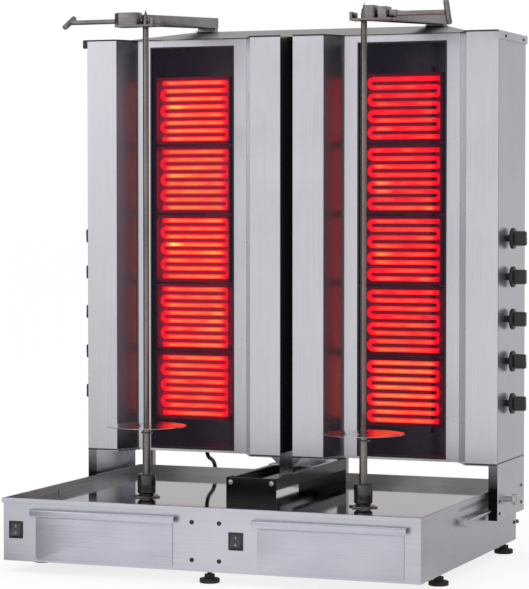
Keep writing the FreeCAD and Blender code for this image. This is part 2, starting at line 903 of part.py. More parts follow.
def make_drawer(name, side):
    body = new_body("drawer_" + name)
    x = drawer_x(side)
    sheet = s.drawer_sheet
    half = s.drawer_width / 2
    front = -s.seat_gap - sheet
    face = rect(x - half, DRAWER_LOW, x + half, DRAWER_TOP)
    add(body, "XZ", front, -s.seat_gap, [face])
    reach = -s.handle_reach
    lip = DRAWER_TOP - s.handle_tall
    handle = [
        (front, DRAWER_TOP), (reach, DRAWER_TOP), (reach, lip),
        (reach + 2 * sheet, lip), (reach + 2 * sheet, lip + sheet), (reach + sheet, lip + sheet),
        (reach + sheet, DRAWER_TOP - sheet), (front, DRAWER_TOP - sheet),
    ]
    add(body, "YZ", x - s.handle_wide / 2, x + s.handle_wide / 2, [handle])
    pan_half = half - s.drawer_overlap - 2 * s.seat_gap
    low = RUNNER_TOP + s.seat_gap
    pan = rect(x - pan_half, -s.seat_gap, x + pan_half, s.drawer_depth)
    add(body, "XY", low, low + s.drawer_side, [pan])
    inner_half = pan_half - sheet
    hollow = rect(x - inner_half, -s.seat_gap, x + inner_half, s.drawer_depth - sheet)
    remove(body, "XY", low + sheet, low + s.drawer_side, [hollow])


# Spits

def make_spit(name, side):
    x = spit_x(side)
    y = s.front_face + s.spit_back
    bore = s.spit_radius + s.fit_gap
    neck_low = TRAY_TOP + s.star_thick + s.seat_gap
    socket = new_body("spit_socket_" + name, x, y)
    turn_profile(socket, [
        (0, s.shaft_bottom), (s.shaft_radius, s.shaft_bottom), (s.shaft_radius, neck_low),
        (s.socket_neck, neck_low), (s.socket_neck, s.socket_low),
        (s.socket_radius, s.socket_low + s.star_thick), (s.socket_radius, s.socket_high),
        (bore, s.socket_high), (bore, s.socket_floor), (0, s.socket_floor),
    ])
    rod = new_body("spit_rod_" + name, x, y)
    turn_profile(rod, [
        (0, s.spit_bottom), (s.spit_radius, s.spit_bottom),
        (s.spit_radius, s.spit_shoulder), (0, s.spit_tip),
    ])
    sleeve = new_body("spit_sleeve_" + name, x, y)
    clip_top = s.clip_height + s.clip_thick
    turn_profile(sleeve, [
        (bore, s.socket_high), (s.sleeve_radius, s.socket_high), (s.sleeve_radius, s.clip_height),
        (s.clip_radius, s.clip_height), (s.clip_radius, clip_top), (s.sleeve_radius, clip_top),
        (s.sleeve_radius, s.sleeve_top), (bore, s.sleeve_top),
    ])
    disc = new_body("meat_disc_" + name, x, y)
    hub_top = s.sleeve_top + s.disc_hub_tall
    turn_profile(disc, [
        (bore, s.sleeve_top), (s.disc_hub, s.sleeve_top), (s.disc_hub, hub_top),
        (s.disc_radius, hub_top), (s.disc_radius, hub_top + s.disc_sheet),
        (bore, hub_top + s.disc_sheet),
    ])


# Heater columns

def column_outline(centre, inset):
    half = COLUMN_HALF - inset
    corner = COLUMN_HALF - s.front_panel - inset
    deep = COLUMN_HALF - s.front_panel - s.bevel_wide - inset
    front = s.column_front + inset
    recess = s.column_front + s.bevel_deep + inset
    back = COLUMN_BACK - inset
    return [
        (centre - half, front), (centre - corner, front), (centre - deep, recess),
        (centre + deep, recess), (centre + corner, front), (centre + half, front),
        (centre + half, back), (centre - half, back),
    ]


def shell_outline(centre, flank):
    sheet = s.column_sheet
    slant = (s.bevel_wide * s.bevel_wide + s.bevel_deep * s.bevel_deep).root()
    mitre = sheet * (slant - s.bevel_wide) / s.bevel_deep
    half = COLUMN_HALF
    corner = COLUMN_HALF - s.front_panel
    deep = corner - s.bevel_wide
    front = s.column_front
    recess = s.column_front + s.bevel_deep
    back = COLUMN_BACK - sheet
    offsets = [
        (half, back), (half, front), (corner, front), (deep, recess), (GLASS_HALF, recess),
        (GLASS_HALF, recess + sheet), (deep + mitre, recess + sheet),
        (corner + mitre, front + sheet), (half - sheet, front + sheet), (half - sheet, back),
    ]
    return [(centre + flank * x, y) for x, y in offsets]


def knob_heights():
    even = int(s.knob_even_count.value)
    heights = [s.knob_low + s.knob_pitch * step for step in range(even)]
    return heights + [heights[-1] + s.knob_top_pitch]


def make_shell(name, side):
    body = new_body("column_shell_" + name)
    centre = spit_x(side)
    sheet = s.column_sheet
    halves = [shell_outline(centre, flank) for flank in (-1, 1)]
    add(body, "XY", s.column_bottom, SHELL_TOP, halves)
    recess = s.column_front + s.bevel_deep
    band = rect(centre - GLASS_HALF, SHELL_TOP - s.band_height, centre + GLASS_HALF, SHELL_TOP)
    add(body, "XZ", recess, recess + sheet, [band])
    face = centre + side * COLUMN_HALF
    holes = [(s.knob_back, z, s.knob_stem + s.seat_gap) for z in knob_heights()]
    remove(body, "YZ", face - side * 2 * sheet, face + side * sheet, circles=holes)


def make_glass(name, side):
    body = new_body("heater_glass_" + name)
    centre = spit_x(side)
    half = GLASS_HALF + s.glass_overlap
    top = SHELL_TOP - s.band_height + s.glass_overlap
    pane = rect(centre - half, s.column_bottom, centre + half, top)
    add(body, "XZ", GLASS_FRONT, GLASS_BACK, [pane])


def zone_middles():
    return [s.zone_first + s.zone_pitch * step for step in range(int(s.zone_count.value))]


def make_boards(name, side):
    body = new_body("heater_boards_" + name)
    centre = spit_x(side)
    outer = (s.zone_pitch - s.board_gap) / 2
    inner = (s.element_pitch * (s.element_bars - 1) + s.element_bar) / 2 + s.board_gap / 2
    wide = s.element_half + s.board_gap
    middles = zone_middles()
    boards = [rect(centre - s.board_half, z - outer, centre + s.board_half, z + outer) for z in middles]
    add(body, "XZ", GLASS_BACK, GLASS_BACK + s.board_deep, boards)
    wells = [rect(centre - wide, z - inner, centre + wide, z + inner) for z in middles]
    remove(body, "XZ", GLASS_BACK, GLASS_BACK + s.board_recess, wells)


def make_elements(name, side):
    """One snaking ribbon in each zone."""
    body = new_body("heating_elements_" + name)
    back = GLASS_BACK + s.board_recess
    ribbon = add(body, "XZ", back - s.element_thick, back, [snake_outline(spit_x(side))])
    repeat(body, ribbon, "XZ", "V_Axis", s.zone_pitch, s.zone_count)


def snake_outline(centre):
    """Bars joined at the right and at the left in turn: up the left side and down the right."""
    bars = int(s.element_bars.value)
    low = s.zone_first - (s.element_pitch * (s.element_bars - 1) + s.element_bar) / 2
    bottoms = [low + s.element_pitch * step for step in range(bars)]
    tops = [bottom + s.element_bar for bottom in bottoms]
    left = centre - s.element_half
    right = centre + s.element_half
    points = [(left, bottoms[0])]
    for step in range(0, bars - 1, 2):
        turn = right - s.element_bar
        points += [(left, tops[step]), (turn, tops[step])]
        points += [(turn, bottoms[step + 1]), (left, bottoms[step + 1])]
    points += [(left, tops[-1]), (right, tops[-1])]
    for step in range(bars - 3, 0, -2):
        turn = left + s.element_bar
        points += [(right, bottoms[step + 1]), (turn, bottoms[step + 1])]
        points += [(turn, tops[step]), (right, tops[step])]
    points.append((right, bottoms[0]))
    return points


def make_cap(name, side):
    body = new_body("column_cap_" + name)
    centre = spit_x(side)
    add(body, "XY", SHELL_TOP, s.column_top, [column_outline(centre, as_size(0))])
    face = centre + side * COLUMN_HALF
    flange = rect(s.column_front, s.column_top - s.cap_flange, COLUMN_BACK, s.column_top)
    add(body, "YZ", face, face + side * s.cap_reach, [flange])


def make_back(name, side):
    body = new_body("back_panel_" + name)
    centre = spit_x(side)
    panel = rect(centre - COLUMN_HALF, s.column_bottom, centre + COLUMN_HALF, SHELL_TOP)
    add(body, "XZ", COLUMN_BACK - s.column_sheet, COLUMN_BACK, [panel])


def make_regulators(name, side):
    body = new_body("regulators_" + name)
    face = spit_x(side) + side * (COLUMN_HALF - s.column_sheet)
    half = s.regulator_half
    boxes = [rect(s.knob_back - half, z - half, s.knob_back + half, z + half) for z in knob_heights()]
    holes = [(s.knob_back, z, s.knob_stem + s.fit_gap) for z in knob_heights()]
    add(body, "YZ", face, face - side * s.regulator_deep, boxes, holes)


def make_carriage(name, side):
    body = new_body("carriage_" + name)
    centre = spit_x(side)
    sheet = s.column_sheet
    low = s.column_bottom - s.carriage_lip
    high = s.column_bottom
    add(body, "XY", low, high, [column_outline(centre, s.carriage_inset)])
    outer = centre + side * COLUMN_HALF
    back = COLUMN_BACK
    leg = rect(s.column_front, s.leg_bottom, back, high)
    add(body, "YZ", outer - side * sheet, outer, [leg])
    flange = rect(side * s.leg_inner, s.leg_bottom, outer, high)
    add(body, "XZ", s.column_front, s.column_front + sheet, [flange])
    add(body, "XZ", back - sheet, back, [flange])
    inner = centre - side * COLUMN_HALF
    inner_leg = rect(s.column_front, s.inner_leg_bottom, back, high)
    add(body, "YZ", inner, inner + side * sheet, [inner_leg])
    slope = inner + side * s.gusset_wide
    gusset = [(inner, s.gusset_low), (slope, low), (slope, high), (inner, high)]
    add(body, "XZ", s.column_front, s.column_front + sheet, [gusset])
    shoe_low = s.rail_top + s.seat_gap
    shoe = rect(inner + side * sheet, s.shoe_front, side * (s.rail_half - sheet), s.shoe_back)
    add(body, "XY", shoe_low, shoe_low + s.shoe_thick, [shoe])
    hollow_half = COLUMN_HALF - s.front_panel / 2
    hollow = rect(
        centre - hollow_half, s.column_front + s.bevel_deep + 2 * s.carriage_lip,
        centre + hollow_half, back - 2 * s.carriage_lip,
    )
    remove(body, "XY", low, high - sheet, [hollow])
    rod = (side * s.rod_side, s.rod_height, s.rod_radius + s.fit_gap)
    remove(body, "XZ", s.column_front - sheet, back + sheet, circles=[rod])
    bolt = (s.bolt_back, s.bolt_height, s.bolt_radius + s.fit_gap)
    remove(body, "YZ", outer - side * 2 * sheet, outer + side * sheet, circles=[bolt])


def sideways(side, spin=0):
    """A turn that lays a body's own Z axis along +X or -X, after a spin about that axis."""
    lay = FreeCAD.Rotation(FreeCAD.Vector(0, 1, 0), 90 * side)
    return lay.multiply(FreeCAD.Rotation(FreeCAD.Vector(0, 0, 1), spin))


def make_thumb_bolt(name, side):
    """The bolt stands loosened, with its tip clear of the base, so that the column can slide."""
    start = BASE_HALF + s.rim_side + s.bolt_standoff
    face = SPIT_OUT + COLUMN_HALF - start
    y = s.front_face + s.bolt_back
    body = new_body("thumb_bolt_" + name, side * start, y, s.bolt_height, sideways(side))
    collar = face + s.seat_gap
    neck = collar + s.bolt_neck
    turn_profile(body, [
        (0, 0), (s.bolt_radius, 0), (s.bolt_radius, collar), (s.bolt_collar, collar),
        (s.bolt_collar, neck), (s.bolt_head, neck), (s.bolt_head, neck + s.bolt_head_thick),
        (0, neck + s.bolt_head_thick),
    ])


def make_knob(name, side, number, height):
    face = side * (SPIT_OUT + COLUMN_HALF)
    y = s.front_face + s.knob_back
    body = new_body(f"knob_{name}_{number}", face, y, height, sideways(side))
    skirt_top = s.knob_stand + s.knob_skirt_thick
    hub_top = skirt_top + 2 * s.knob_skirt_thick
    turn_profile(body, [
        (0, s.seat_gap - s.regulator_deep), (s.knob_stem, s.seat_gap - s.regulator_deep),
        (s.knob_stem, s.seat_gap), (s.knob_hub / 2, s.seat_gap), (s.knob_hub / 2, s.knob_stand),
        (s.knob_skirt, s.knob_stand), (s.knob_skirt, skirt_top), (s.knob_hub, hub_top),
        (0, hub_top),
    ])
    grip = rect(-s.knob_grip_half, -s.knob_grip / 2, s.knob_grip_half, s.knob_grip / 2)
    add(body, "XY", skirt_top, s.knob_rise, [grip])


# Top holders

def make_arm(name, side):
    body = new_body("top_arm_" + name)
    low = s.head_plate_low
    high = low + s.head_plate_thick
    plate = rect(side * s.head_plate_inner, s.head_front, side * s.head_plate_outer, s.head_back)
    add(body, "XY", low, high, [plate])
    hook = rect(side * s.head_plate_inner, s.head_front, side * s.hook_outer, s.head_back)
    add(body, "XY", high, s.hook_top, [hook])
    blocks = [
        rect(side * s.block_inner, s.head_front, side * s.block_outer, s.head_back),
        rect(side * s.jaw_inner, s.head_front, side * s.jaw_outer, s.head_back),
    ]
    add(body, "XY", high, s.block_top, blocks)
    rear_high = s.arm_rear_low + s.arm_rear_tall
    profile = [
        (s.head_back, low), (s.head_back, low + s.arm_front_tall),
        (s.arm_end, rear_high), (s.arm_end, s.arm_rear_low),
    ]
    add(body, "YZ", side * s.arm_inner, side * s.arm_outer, [profile])
    channel = [
        (s.head_back + s.arm_sheet, low - s.arm_sheet),
        (s.head_back + s.arm_sheet, low + s.arm_front_tall - s.arm_sheet),
        (s.arm_end + s.arm_sheet, rear_high - s.arm_sheet),
        (s.arm_end + s.arm_sheet, s.arm_rear_low - s.arm_sheet),
    ]
    inner = side * (s.arm_inner + s.arm_sheet)
    outer = side * (s.arm_outer - s.arm_sheet)
    remove(body, "YZ", inner, outer, [channel])
    wide = s.spit_radius + s.fit_gap
    slot = rect(
        spit_x(side) - wide, s.spit_back - wide - s.rod_slack_front,
        spit_x(side) + wide, s.spit_back + wide + s.rod_slack_back,
    )
    remove(body, "XY", low, high, [slot])
    screw = (s.spit_back, s.clamp_height, s.clamp_radius + s.fit_gap)
    remove(body, "YZ", side * s.block_inner, side * s.jaw_outer, circles=[screw])
    pivot = (s.pivot_back, s.pivot_height, s.pin_radius + s.fit_gap)
    remove(body, "YZ", side * s.arm_inner, side * s.arm_outer, circles=[pivot])


def make_arm_mounts():
    body = new_body("arm_mounts")
    roof = s.roof_bottom + s.roof_rise
    flange_top = roof + s.lug_flange_thick
    for side in SIDES.values():
        inner = side * (s.arm_inner + s.arm_sheet + s.seat_gap)
        outer = side * (s.arm_outer - s.arm_sheet - s.seat_gap)
        flange = rect(s.pivot_back - s.lug_flange, roof, s.pivot_back + s.lug_flange, flange_top)
        add(body, "YZ", inner, outer, [flange])
        radius = s.lug_radius
        web = rect(s.pivot_back - radius, flange_top, s.pivot_back + radius, s.pivot_height)
        add(body, "YZ", inner, outer, [web])
        add(body, "YZ", inner, outer, circles=[(s.pivot_back, s.pivot_height, radius)])
        pin = (s.pivot_back, s.pivot_height, s.pin_radius)
        add(body, "YZ", side * s.arm_inner, side * s.arm_outer, circles=[pin])


def make_clamp_screw(name, side, spin):
    start = SPIT_OUT + s.spit_radius + s.seat_gap
    y = s.front_face + s.spit_back
    body = new_body("clamp_screw_" + name, side * start, y, s.clamp_height, sideways(side, spin))
    collar = s.jaw_outer + s.seat_gap - start
    collar_end = collar + s.clamp_collar_long
    end = s.clamp_end - start
    turn_profile(body, [
        (0, 0), (s.clamp_radius, 0), (s.clamp_radius, collar), (s.clamp_collar, collar),
        (s.clamp_collar, collar_end), (s.clamp_radius, collar_end), (s.clamp_radius, end),
        (0, end),
    ])
    tee = (0, end + s.tee_radius - 1, s.tee_radius)
    add(body, "YZ", -s.tee_long / 2, s.tee_long / 2, circles=[tee])


# The cable between the left column and the connection box

BEND_SHARE = 0.45
CABLE_ROUTE = [
    (-262.0, 634.0, 206.7),
    (-262.1, 634.0, 197.3),
    (-262.3, 637.0, 188.3),
    (-262.6, 642.5, 180.8),
    (-263.0, 650.0, 175.3),
    (-263.6, 663.0, 171.0),
    (-264.2, 676.0, 166.0),
    (-264.6, 683.5, 160.4),
    (-264.8, 689.0, 152.8),
    (-265.0, 692.0, 143.6),
    (-265.0, 692.0, 134.0),
]


def make_cable():
    """Straight runs joined by tangent arcs, swept by a circle."""
    offset = FreeCAD.Vector(0, s.front_face.value, 0)
    points = [FreeCAD.Vector(*point) + offset for point in CABLE_ROUTE]
    edges = []
    start = points[0]
    for before, corner, after in zip(points, points[1:], points[2:]):
        back = before - corner
        ahead = after - corner
        shorter = min(back.Length, ahead.Length)
        turn = math.pi - back.getAngle(ahead)
        reach = BEND_SHARE * shorter
        radius = reach / math.tan(turn / 2)
        print(f"cable bend radius {radius:.1f} mm, turn {math.degrees(turn):.0f} degrees")
        back.normalize()
        ahead.normalize()
        enter = corner + back * reach
        leave = corner + ahead * reach
        inward = back + ahead
        inward.normalize()
        middle = corner + inward * (radius / math.cos(turn / 2) - radius)
        edges.append(Part.LineSegment(start, enter).toShape())
        edges.append(Part.Arc(enter, middle, leave).toShape())
        start = leave
    edges.append(Part.LineSegment(start, points[-1]).toShape())
    path = Part.Wire(edges)
    first = points[1] - points[0]
    ring = Part.Wire([Part.makeCircle(s.cable_radius.value, points[0], first)])
    tube = path.makePipeShell([ring], True, False)
    expected = math.pi * s.cable_radius.value ** 2 * path.Length
    print(f"cable length {path.Length:.1f} mm, volume share {tube.Volume / expected:.4f}")
    cable = doc.addObject("Part::Feature", "link_cable")
    cable.Label = "link_cable"
    cable.Shape = tube
    cable.Placement = FreeCAD.Placement()
    finished.append(cable)


def make_all():
    make_chassis()
    make_bottom()
    make_feet()
    make_tray()
    make_rail()
    make_rear_frame()
    make_roof()
    make_guide_rods()
    make_rod_nuts()
    make_motors()
    make_switch_bodies()
    make_panel_screws()
    make_gland()
    make_stars()
    make_arm_mounts()
    make_cable()
    tee_spin = {"left": 64, "right": 29}
    for name, side in SIDES.items():
        make_rocker(name, side)
        make_drawer(name, side)
        make_spit(name, side)
        make_shell(name, side)
        make_glass(name, side)
        make_boards(name, side)
        make_elements(name, side)
        make_cap(name, side)
        make_back(name, side)
        make_regulators(name, side)
        make_carriage(name, side)
        make_thumb_bolt(name, side)
        make_arm(name, side)
        make_clamp_screw(name, side, tee_spin[name])
        for number, height in enumerate(knob_heights(), start=1):
            make_knob(name, side, number, height)


def check_and_write():
    doc.recompute()
    for thing in doc.Objects:
        if "Invalid" in thing.State or "Error" in thing.State:
            raise RuntimeError(f"{thing.Name} is {thing.State}")
    os.makedirs("parts", exist_ok=True)
    for thing in finished:
        if thing.Shape.isNull() or not thing.Shape.isValid():
            raise RuntimeError(f"{thing.Label} has no valid shape")
    for thing in finished:
        thing.Shape.exportStep(os.path.join("parts", thing.Label + ".step"))
    print(f"{len(finished)} nodes written")


make_all()
check_and_write()
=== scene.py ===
import math

import bmesh
import bpy
from mathutils import Matrix, Vector


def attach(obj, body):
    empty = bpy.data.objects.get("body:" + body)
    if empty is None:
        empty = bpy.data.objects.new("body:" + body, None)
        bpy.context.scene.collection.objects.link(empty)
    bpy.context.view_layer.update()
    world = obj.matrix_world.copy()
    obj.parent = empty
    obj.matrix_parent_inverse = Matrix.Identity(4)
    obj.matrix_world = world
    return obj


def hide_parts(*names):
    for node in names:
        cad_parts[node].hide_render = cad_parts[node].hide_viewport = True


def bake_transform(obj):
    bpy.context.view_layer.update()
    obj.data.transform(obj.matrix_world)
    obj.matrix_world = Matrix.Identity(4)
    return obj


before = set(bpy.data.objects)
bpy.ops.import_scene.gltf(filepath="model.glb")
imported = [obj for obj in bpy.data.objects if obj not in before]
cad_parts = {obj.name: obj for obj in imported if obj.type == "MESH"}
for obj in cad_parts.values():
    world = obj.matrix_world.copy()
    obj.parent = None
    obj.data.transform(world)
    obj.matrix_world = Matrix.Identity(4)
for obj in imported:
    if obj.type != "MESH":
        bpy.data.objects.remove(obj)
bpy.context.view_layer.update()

# Double electric kebab grill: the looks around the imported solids.
# X runs across the front, Y from front to back, Z up. Sizes are in millimetres unless a note says metres.

mm = 0.001
sides = {"left": -1, "right": 1}
finishes = {}

layout = {
    "frontFace": -344.0, "baseHalf": 442.5, "baseTop": 151.0, "trayTop": 132.5,
    "spitOut": 239.5, "spitBack": -90.0, "columnHalf": 225.35, "columnFront": 102.0,
    "columnBack": 310.0, "columnBottom": 208.5, "columnTop": 1100.0, "glassFront": 156.0,
}


# Camera

cameraView = {
    "place": (1.83656, -4.72843, 0.75069),  # metres
    "turn": (87.802, 0.0, 21.330),  # degrees
    "lens": 148.9, "sensor": 36.0,
}


def addObject(name, data, place=(0, 0, 0)):
    thing = bpy.data.objects.new(name, data)
    thing.location = place
    bpy.context.scene.collection.objects.link(thing)
    return thing


def makeCamera():
    lensData = bpy.data.cameras.new("camera")
    lensData.lens = cameraView["lens"]
    lensData.sensor_fit = "VERTICAL"
    lensData.sensor_height = cameraView["sensor"]
    lensData.clip_end = 60
    camera = addObject("camera", lensData, cameraView["place"])
    camera.rotation_euler = [math.radians(angle) for angle in cameraView["turn"]]
    bpy.context.scene.camera = camera


# Small helpers for modelling

def deselectAll():
    if bpy.context.object and bpy.context.object.mode != "OBJECT":
        leaveEdit()
    bpy.ops.object.select_all(action="DESELECT")


def activate(piece):
    deselectAll()
    piece.select_set(True)
    bpy.context.view_layer.objects.active = piece


# The active object's place goes into its mesh.
def settle():
    bpy.ops.object.transform_apply(location=True, rotation=True, scale=True)
    return bpy.context.object


def vec(place):
    return Vector(place) * mm


def spun(angle, axis):
    return Matrix.Rotation(math.radians(angle), 3, axis)


# These lay a piece's own +Z along +X or -X, or towards the front.
def facing(side):
    return spun(90 * side, "Y")


towardFront = spun(90, "X")


# Where a column's outer side is.
def columnFace(side):
    return side * (layout["spitOut"] + layout["columnHalf"])


def block(low, high):
    deselectAll()
    middle = (vec(low) + vec(high)) / 2
    size = [abs(b - a) * mm for a, b in zip(low, high)]
    bpy.ops.mesh.primitive_cube_add(size=1, location=middle, scale=size)
    return settle()


def hoop(radius, wire, around, across, place=(0, 0, 0), turn=(0, 0, 0)):
    deselectAll()
    bpy.ops.mesh.primitive_torus_add(
        major_radius=radius * mm, minor_radius=wire * mm, major_segments=around, minor_segments=across,
        location=vec(place), rotation=[math.radians(angle) for angle in turn])
    return settle()


def leaveEdit():
    bpy.ops.object.mode_set(mode="OBJECT")


# Into edit mode with everything chosen.
def pickAll(piece):
    activate(piece)
    bpy.ops.object.mode_set(mode="EDIT")
    bpy.ops.mesh.select_all(action="SELECT")


# Into edit mode with what passes a test, in millimetres: of a point's place,
# of an edge's middle and direction, or of a face's centre and normal.
def pick(piece, kind, test):
    activate(piece)
    bpy.ops.object.mode_set(mode="EDIT")
    bpy.ops.mesh.select_mode(type=kind)
    bpy.ops.mesh.select_all(action="DESELECT")
    mesh = bmesh.from_edit_mesh(piece.data)
    if kind == "VERT":
        facts = [(point, [point.co / mm]) for point in mesh.verts]
    elif kind == "EDGE":
        ends = [(edge, *(point.co for point in edge.verts)) for edge in mesh.edges]
        facts = [(edge, ((a + b) / 2 / mm, (b - a).normalized())) for edge, a, b in ends]
    else:
        facts = [(face, (face.calc_center_median() / mm, face.normal)) for face in mesh.faces]
    for part, values in facts:
        part.select = bool(test(*values))
    mesh.select_flush_mode()
    bmesh.update_edit_mesh(piece.data)


def bevelSome(piece, kind, test, width, segments):
    pick(piece, kind, test)
    affect = "VERTICES" if kind == "VERT" else "EDGES"
    bpy.ops.mesh.bevel(offset=width * mm, segments=segments, affect=affect)
    leaveEdit()
    return piece


def moveSome(piece, kind, test, shift):
    pick(piece, kind, test)
    bpy.ops.transform.translate(value=vec(shift))
    leaveEdit()


def scaleSome(piece, kind, test, shares, centre=(0, 0, 0)):
    pick(piece, kind, test)
    bpy.ops.transform.resize(value=shares, center_override=vec(centre))
    leaveEdit()
    return piece


def dropFaces(piece, test):
    pick(piece, "FACE", test)
    bpy.ops.mesh.delete(type="FACE")
    leaveEdit()
    return piece


def pullOut(shift):
    bpy.ops.mesh.extrude_region_move(TRANSFORM_OT_translate={"value": shift})


def applyAll(piece):
    activate(piece)
    for modifier in list(piece.modifiers):
        bpy.ops.object.modifier_apply(modifier=modifier.name)
    return piece


def soften(piece, width, segments=2, angle=30):
    edge = piece.modifiers.new("edge", "BEVEL")
    edge.width = width * mm
    edge.segments = segments
    edge.limit_method = "ANGLE"
    edge.angle_limit = math.radians(angle)
    return applyAll(piece)


def thicken(piece, wall, offset=-1):
    shell = piece.modifiers.new("wall", "SOLIDIFY")
    shell.thickness = wall * mm
    shell.offset = offset
    shell.use_even_offset = True
    return applyAll(piece)


def discard(piece):
    activate(piece)
    bpy.ops.object.delete()


def cutAway(piece, cutter):
    cut = piece.modifiers.new("cut", "BOOLEAN")
    cut.operation = "DIFFERENCE"
    cut.object = cutter
    applyAll(piece)
    discard(cutter)


# A piece modelled about the origin goes to its place, turned by a 3 x 3 matrix.
def placeAt(piece, place, turn=None):
    activate(piece)
    piece.location = vec(place)
    if turn is not None:
        piece.rotation_euler = turn.to_euler()
    return settle()


def copyPiece(piece):
    activate(piece)
    bpy.ops.object.duplicate()
    return bpy.context.object


# Copies of a master at each place, and the master taken away.
def repeat(master, places, turn=None):
    copies = [placeAt(copyPiece(master), place, turn) for place in places]
    discard(master)
    return copies


def joinAll(pieces):
    if len(pieces) > 1:
        deselectAll()
        for piece in pieces:
            piece.select_set(True)
        bpy.context.view_layer.objects.active = pieces[0]
        bpy.ops.object.join()
    return pieces[0]


# A turned piece along +Z from the origin: a disc pulled out ring by ring, each (radius, level).
def turned(rings, count=48):
    deselectAll()
    radius, level = rings[0]
    bpy.ops.mesh.primitive_circle_add(
        vertices=count, radius=radius * mm, fill_type="NGON", location=(0, 0, level * mm))
    piece = settle()
    pickAll(piece)
    for nextRadius, nextLevel in rings[1:]:
        pullOut((0, 0, (nextLevel - level) * mm))
        share = nextRadius / radius
        if share != 1:
            bpy.ops.transform.resize(
                value=(share, share, share), center_override=(0, 0, nextLevel * mm))
        radius, level = nextRadius, nextLevel
    leaveEdit()
    return piece


# A turned piece whose every second point between two levels is drawn in by a share, as ridges,
# where it is further out than inner.
def fluted(rings, count, low, high, share, inner=0.0):
    step = 2 * math.pi / count

    def isDip(point):
        if not low < point.z < high or point.xy.length < inner:
            return False
        return round(math.atan2(point.y, point.x) / step) % 2 == 1

    return scaleSome(turned(rings, count), "VERT", isDip, (share, share, 1))


# Joins the parts under the piece's name and closes them, then gives finish and body, and hides the nodes it
# replaces.
def finishPiece(name, parts, body, slot, finish, *stands, smooth=35):
    piece = joinAll(parts)
    piece.name = name
    piece.data.name = name
    cleanUp(piece, smooth)
    wear(piece, finish)
    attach(piece, body)
    if stands:
        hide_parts(*stands)


def cleanUp(piece, smooth):
    pickAll(piece)
    bpy.ops.mesh.remove_doubles(threshold=1e-6)
    bpy.ops.mesh.normals_make_consistent(inside=False)
    leaveEdit()
    bpy.ops.object.shade_smooth_by_angle(angle=math.radians(smooth))


def wear(piece, finish):
    piece.data.materials.clear()
    piece.data.materials.append(finishes[finish])


# Shader nodes

# A colour as it looks on screen, 0 to 255.
def tint(red, green, blue):
    return [((c / 255 + 0.055) / 1.055) ** 2.4 for c in (red, green, blue)] + [1.0]


def greyStops(levels):
    return [(position, (level, level, level, 1)) for position, level in levels]


# A node's output that is reckoned with like a number.
class Signal:
    def __init__(self, tree, socket):
        self.tree = tree
        self.socket = socket

    def reckon(self, operation, *values):
        return self.tree.add("Math", "Value", dict(enumerate((self, *values))), operation=operation)

    def __add__(self, other):
        return self.reckon("ADD", other)

    def __sub__(self, other):
        return self.reckon("SUBTRACT", other)

    def __mul__(self, other):
        return self.reckon("MULTIPLY", other)

    def __lt__(self, other):
        return self.reckon("LESS_THAN", other)

    def __gt__(self, other):
        return self.reckon("GREATER_THAN", other)

    def __abs__(self):
        return self.reckon("ABSOLUTE")

    # From one range to another, held at its ends.
    def spread(self, low, high, fromLow=0.3, fromHigh=0.7):
        return self.tree.add("MapRange", "Result", {
            "Value": self, "From Min": fromLow, "From Max": fromHigh, "To Min": low, "To Max": high})

    def axes(self):
        split = self.tree.add("SeparateXYZ", "X", {"Vector": self}).socket.node
        return [Signal(self.tree, out) for out in split.outputs]


# The nodes of a material or a world.
class Tree:
    def __init__(self, owner):
        owner.use_nodes = True
        self.nodes = owner.node_tree.nodes
        self.links = owner.node_tree.links

    def feed(self, node, inputs):
        for key, value in inputs.items():
            if isinstance(value, Signal):
                self.links.new(value.socket, node.inputs[key])
            else:
                node.inputs[key].default_value = value

    def add(self, kind, output, inputs, **settings):
        node = self.nodes.new("ShaderNode" + kind)
        for key, value in settings.items():
            setattr(node, key, value)
        self.feed(node, inputs)
        return Signal(self, node.outputs[output])

    def dress(self, inputs):
        self.feed(self.nodes["Principled BSDF"], inputs)

    def place(self, kind="Object"):
        return self.add("TexCoord", kind, {})

    # Noise on the piece's own coordinates, stretched on its three axes.
    def noise(self, stretch, detail=3.0, rough=0.5):
        spot = self.add("Mapping", "Vector", {"Vector": self.place(), "Scale": stretch})
        return self.add("TexNoise", "Fac", {
            "Vector": spot, "Scale": 1.0, "Detail": detail, "Roughness": rough})

    # Inputs 6 and 7 and output 2 are the mix node's colour sockets.
    def mix(self, share, first, second):
        return self.add("Mix", 2, {0: share, 6: first, 7: second}, data_type="RGBA")

    # stops are (position 0 to 1, colour).
    def ramp(self, value, stops):
        colour = self.add("ValToRGB", "Color", {"Fac": value})
        elements = colour.socket.node.color_ramp.elements
        while len(elements) < len(stops):
            elements.new(0.5)
        for element, (position, tone) in zip(elements, stops):
            element.position = position
            element.color = tone
        return colour

    def bump(self, height, strength, rounding=0.0):
        inputs = {"Height": height, "Strength": strength, "Distance": 0.0002}
        if rounding:
            inputs["Normal"] = self.add("Bevel", "Normal", {"Radius": rounding * mm}, samples=4)
        return self.add("Bump", "Normal", inputs)


# Finishes

def newFinish(name):
    finishes[name] = bpy.data.materials.new(name)
    return Tree(finishes[name])


# Stainless sheet: fine brushed lines, soft clouding, handled edges
def steelFinish(name, light, dark, rough, roughSpread=0.06, grain=(4, 4, 420), cloud=(7, 7, 7),
                bump=0.12, rounding=0.8, shade=None):
    tree = newFinish(name)
    lines = tree.noise(grain, 4.0, 0.65)
    clouds = tree.noise(cloud, 3.0, 0.55)
    share = (lines * 0.45 + clouds * 0.55).spread(0.0, 1.0, 0.36, 0.64)
    colour = tree.mix(share, tint(*dark), tint(*light))
    sheen = clouds.spread(rough - roughSpread, rough + roughSpread)
    if shade:
        colour, sheen = shade(tree, colour, sheen)
    tree.dress({"Metallic": 1.0, "Base Color": colour, "Roughness": sheen,
                "Normal": tree.bump(lines, bump, rounding)})
